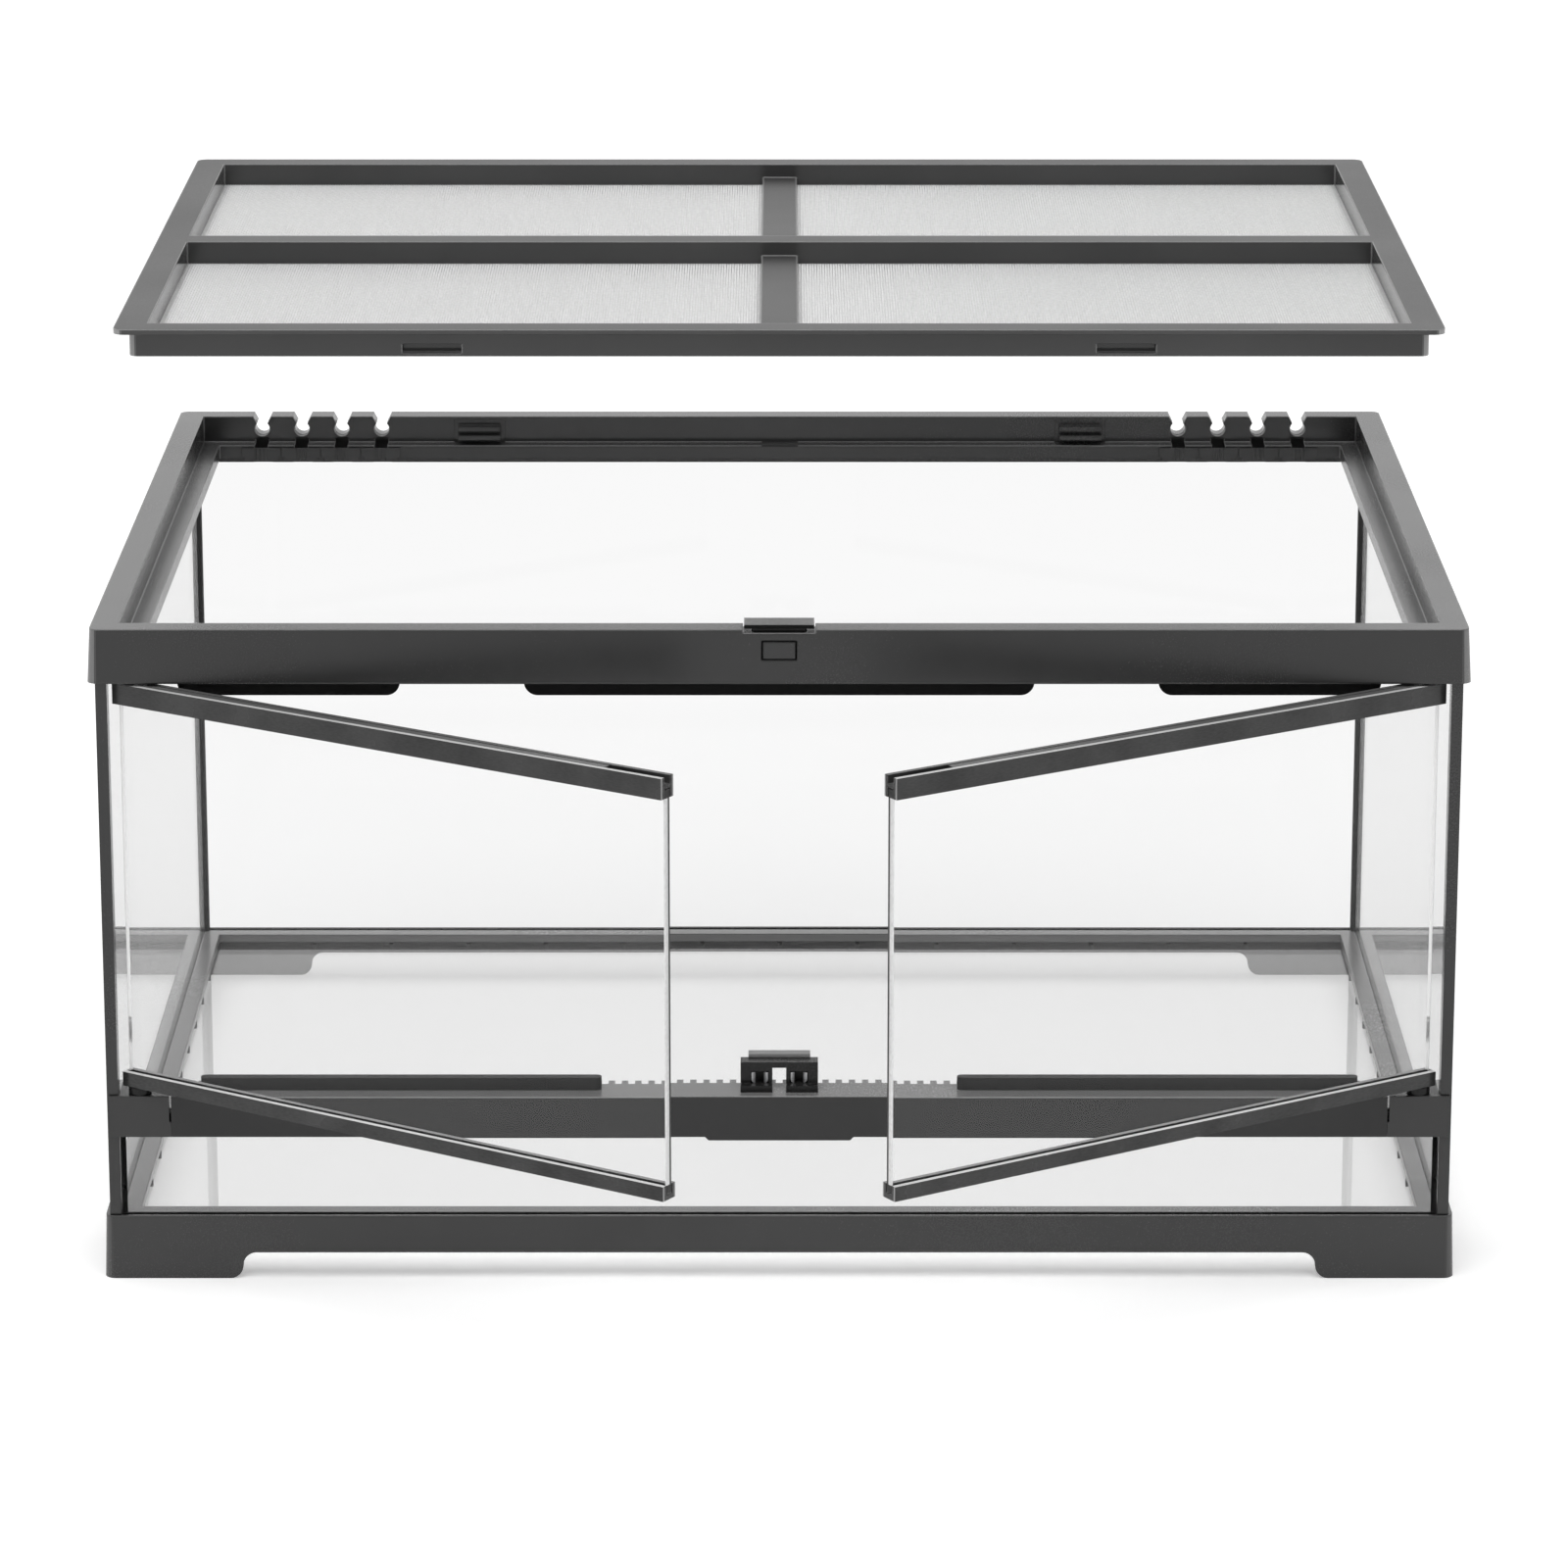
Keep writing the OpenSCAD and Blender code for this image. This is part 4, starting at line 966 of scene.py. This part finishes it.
class TERRARIUM_OT_panes(bpy.types.Operator):
    """Make the glass panes with their ground or polished edges, and paint a reflection and shade on
    the ends of the doors' panes
    """

    bl_idname = "terrarium.panes"
    bl_label = "Panes"

    def execute(self, context):
        look, size = colours(), sizes()
        side = clear_pane("side glass", look.side_pane)
        front = clear_pane("front glass", look.front_pane)
        glass = {
            "bottom_glass": clear_pane("floor glass", look.floor_pane),
            "back_glass": clear_pane("rear glass", look.back_pane),
            "left_glass": side,
            "right_glass": side,
        }
        for node in TANK_PANES:
            pane = new_piece(node + "_pane", bevelled_copy(node, size.pane_seam))
            finish_piece(pane, node, glass.get(node, front))
        for door in SIDES:
            node, lie = f"door_glass_{door}", DoorLie(door)
            pane = new_piece(node + "_pane", bevelled_copy(node, size.door_seam))
            edges = [
                painted_edge_glass(
                    f"{door} door {end} edge", look.edge_painted_reflection, look.edge_painted_dark_line, lie, line, cover
                )
                for end, line, cover in (("free", 1.0, 1.0), ("hinged", 0.0, 0.4))
            ]
            finish_piece(pane, node, front, *edges)
            dress_painted_ends(pane.data, lie.along)
        return {"FINISHED"}


# One spring clip's half, from the middle of its back to the tip of its jaw, in metres from the
# clip's middle and from its front
LEAF_PATH = (
    (0.0, 0.0055),
    (0.0017, 0.0054),
    (0.0028, 0.0046),
    (0.0027, 0.0032),
    (0.00195, 0.0021),
    (0.0020, 0.0014),
    (0.0029, 0.0006),
    (0.0037, 0.0002),
)
# from an end of the pair to its nearer clip's middle, and from the front to where the backs, in
# painted shade, begin
LEAF_HALF = 0.00285
LEAF_BACK = 0.0033
# the last share of each jaw is cut away from below, up to a share of the strip's height
TONGUE_SHARE = 0.28
TONGUE_RISE = 0.42


def rounded_path(points):
    """Cuts a path's corners twice, and keeps its ends."""
    for _ in range(2):
        cut = [points[0]]
        for first, second in zip(points, points[1:]):
            cut.append(first.lerp(second, 0.25))
            cut.append(first.lerp(second, 0.75))
        points = cut + [points[-1]]
    return points


def bend_leaf(bm, centre, low, high, thickness):
    """One clip of spring strip, whose jaws flare and end in rounded tongues."""
    half = rounded_path([Vector((x, y, 0)) for x, y in LEAF_PATH])
    path = [Vector((-point.x, point.y, 0)) for point in reversed(half)] + half[1:]
    last = len(path) - 1
    rings = []
    for index, point in enumerate(path):
        along = path[min(index + 1, last)] - path[max(index - 1, 0)]
        out = along.cross(Vector((0, 0, 1))).normalized() * thickness / 2
        tip = max(0.0, abs(index / last - 0.5) * 2 - (1 - TONGUE_SHARE)) / TONGUE_SHARE
        foot = low.z + TONGUE_RISE * (high.z - low.z) * tip**2
        base = Vector((centre, low.y, 0)) + point
        rings.append(
            [
                bm.verts.new((base + shift * out) + Vector((0, 0, height)))
                for shift, height in ((-1, foot), (1, foot), (1, high.z), (-1, high.z))
            ]
        )
    for first, second in zip(rings, rings[1:]):
        for corner in range(4):
            after = (corner + 1) % 4
            bm.faces.new((first[corner], first[after], second[after], second[corner]))
    bm.faces.new(rings[0][::-1])
    bm.faces.new(rings[-1])


class TERRARIUM_OT_clips(bpy.types.Operator):
    """Bend the two spring clips that hold the doors' studs"""

    bl_idname = "terrarium.clips"
    bl_label = "Catch clips"

    def execute(self, context):
        low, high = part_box("catch_clips")
        bm = bmesh.new()
        for centre in (low.x + LEAF_HALF, high.x - LEAF_HALF):
            bend_leaf(bm, centre, low, high, sizes().clip_strip)
        bmesh.ops.recalc_face_normals(bm, faces=bm.faces)
        piece = new_piece("spring_clips", to_mesh(bm, "spring_clips_mesh"))
        finish_piece(
            piece,
            "catch_clips",
            bright_metal("clip strip", colours().steel, roughness=0.4, grain=0.0006),
            soft_black("clip back shade", colours().black_plastic, roughness=0.5),
        )
        # painted shade: the clips' backs take the dark material
        for face in piece.data.polygons:
            face.material_index = int(face.center.y > low.y + LEAF_BACK)
        return {"FINISHED"}


class TERRARIUM_OT_screens(bpy.types.Operator):
    """Weave the four screens of the lid"""

    bl_idname = "terrarium.screens"
    bl_label = "Screens"

    def execute(self, context):
        size = sizes()
        wire = bright_metal("screen wire", colours().screen_wire, roughness=0.42, grain=0.002)
        tree = screen_tree()
        for node in SCREENS:
            low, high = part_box(node)
            piece = tree.grow(
                node.replace("lid_mesh", "lid_screen"),
                {
                    "Width": high.x - low.x,
                    "Depth": high.y - low.y,
                    "Pitch": size.wire_pitch,
                    "Wire": size.wire_thickness,
                    "Centre": (low + high) / 2,
                    "Material": wire,
                },
            )
            finish_piece(piece, node, wire)
        return {"FINISHED"}


# shares of its pocket's width that the spring fills and that its wire is thick
SPRING_FILL = 0.72
SPRING_WIRE = 0.15


class TERRARIUM_OT_spring(bpy.types.Operator):
    """Wind the return spring of the lid's latch"""

    bl_idname = "terrarium.spring"
    bl_label = "Latch spring"

    def execute(self, context):
        low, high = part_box("lid_latch_spring")
        wire = SPRING_WIRE * (high.x - low.x)
        steel = bright_metal("spring wire", colours().steel, roughness=0.25, grain=STEEL_GRAIN)
        middle = (low + high) / 2
        piece = spring_tree().grow(
            "latch_coil",
            {
                "Turns": float(sizes().spring_turns),
                "Radius": (high.x - low.x) * SPRING_FILL / 2 - wire / 2,
                "Length": high.y - low.y - wire,
                "Wire": wire,
                "Start": Vector((middle.x, low.y + wire / 2, middle.z)),
                "Material": steel,
            },
        )
        finish_piece(piece, "lid_latch_spring", steel)
        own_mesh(piece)
        return {"FINISHED"}


# ---------- stage ----------

# the floor's side, in metres
FLOOR_SIZE = 60
# light that the surround casts on matt surfaces, and what is left of it in front for what shines
WORLD_LIGHT = 0.4
FRONT_SHINE = 0.35
# how far to the back a direction points where that dimming starts to fade, and where it has gone
FRONT_FADE = (-0.1, 0.35)
# the overhead light's strength, its width in degrees and where it comes from
OVERHEAD_LIGHT = 2.0
OVERHEAD_WIDTH = 60
OVERHEAD_PLACE = Vector((-0.15, -0.5, 2.0))
# where the camera stands, how far down it looks and its lens in millimetres
CAMERA_PLACE = Vector((0.0021, -2.940, 0.9785))
CAMERA_DOWN = math.radians(15.442)
CAMERA_LENS = 147.98
# enough for light to pass every pane
LIGHT_BOUNCES = 24


def light_world(scene):
    """A white surround.

    It shows white, lights matt surfaces less, so that the overhead light leads, and is dimmer on
    the front's side for what shines, as a studio is behind its camera.
    """
    world = bpy.data.worlds.new("studio")
    world.use_nodes = True
    sky = Shader.on_tree(world.node_tree)
    matt = sky.ray("Diffuse")
    shiny = sky.ray("Glossy") * (1 - sky.ray("Transmission"))
    towards = sky.node("ShaderNodeTexCoord", output="Generated")
    to_back = sky.node("ShaderNodeSeparateXYZ", inputs={0: towards}, output="Y")
    front = sky.node(
        "ShaderNodeMapRange",
        {"clamp": True, "interpolation_type": "SMOOTHSTEP"},
        {
            "Value": to_back,
            "From Min": FRONT_FADE[0],
            "From Max": FRONT_FADE[1],
            "To Min": 1.0,
            "To Max": 0.0,
        },
    )
    level = 1 - matt * (1 - WORLD_LIGHT) - shiny * front * (1 - FRONT_SHINE)
    back = sky.node("ShaderNodeBackground", inputs={"Color": (1, 1, 1, 1), "Strength": level})
    out = sky.tree.nodes.new("ShaderNodeOutputWorld")
    sky.tree.links.new(back.socket, out.inputs["Surface"])
    scene.world = world


def aim_at(thing, place, aim):
    thing.location = place
    thing.rotation_euler = (aim - place).to_track_quat("-Z", "Y").to_euler()


def add_overhead_light():
    """A wide, far light above, which puts the object's shadow under it."""
    light = bpy.data.lights.new("overhead_light", "SUN")
    light.angle = math.radians(OVERHEAD_WIDTH)
    light.energy = OVERHEAD_LIGHT
    lamp = bpy.data.objects.new("overhead_light", light)
    bpy.context.scene.collection.objects.link(lamp)
    aim_at(lamp, OVERHEAD_PLACE, Vector((0, 0, 0)))


def add_camera(scene):
    """A long lens in front of the tank, looking down on it."""
    data = bpy.data.cameras.new("camera")
    data.lens = CAMERA_LENS
    data.sensor_width = 36
    data.clip_end = 200
    camera = bpy.data.objects.new("camera", data)
    scene.collection.objects.link(camera)
    forward = Vector((0, math.cos(CAMERA_DOWN), -math.sin(CAMERA_DOWN)))
    aim_at(camera, CAMERA_PLACE, CAMERA_PLACE + forward)
    scene.camera = camera


class TERRARIUM_OT_stage(bpy.types.Operator):
    """Set up the floor, the lights and the camera"""

    bl_idname = "terrarium.stage"
    bl_label = "Stage"

    def execute(self, context):
        bpy.ops.mesh.primitive_plane_add(size=FLOOR_SIZE)
        floor = context.active_object
        floor.name = "studio_floor"
        floor.data.materials.append(studio_floor("studio floor"))
        light_world(context.scene)
        add_overhead_light()
        add_camera(context.scene)
        context.scene.view_settings.view_transform = "Standard"
        context.scene.cycles.max_bounces = LIGHT_BOUNCES
        context.scene.cycles.transmission_bounces = LIGHT_BOUNCES
        context.scene.cycles.transparent_max_bounces = LIGHT_BOUNCES
        return {"FINISHED"}


# ---------- panel and registration ----------

STEPS = (
    TERRARIUM_OT_plastics,
    TERRARIUM_OT_panes,
    TERRARIUM_OT_clips,
    TERRARIUM_OT_screens,
    TERRARIUM_OT_spring,
    TERRARIUM_OT_stage,
)


class VIEW3D_PT_terrarium(bpy.types.Panel):
    """Lists the steps that dress the terrarium"""

    bl_label = "Terrarium"
    bl_space_type = "VIEW_3D"
    bl_region_type = "UI"
    bl_category = "Terrarium"

    def draw(self, context):
        for step in STEPS:
            self.layout.operator(step.bl_idname)


CLASSES = (TerrariumSizes, TerrariumColours, *STEPS, VIEW3D_PT_terrarium)


def register():
    for item in CLASSES:
        bpy.utils.register_class(item)
    bpy.types.Scene.terrarium_sizes = PointerProperty(type=TerrariumSizes)
    bpy.types.Scene.terrarium_colours = PointerProperty(type=TerrariumColours)


def unregister():
    del bpy.types.Scene.terrarium_colours
    del bpy.types.Scene.terrarium_sizes
    for item in reversed(CLASSES):
        bpy.utils.unregister_class(item)


def main():
    register()
    for step in STEPS:
        group, name = step.bl_idname.split(".")
        getattr(getattr(bpy.ops, group), name)()


if __name__ == "__main__":
    main()
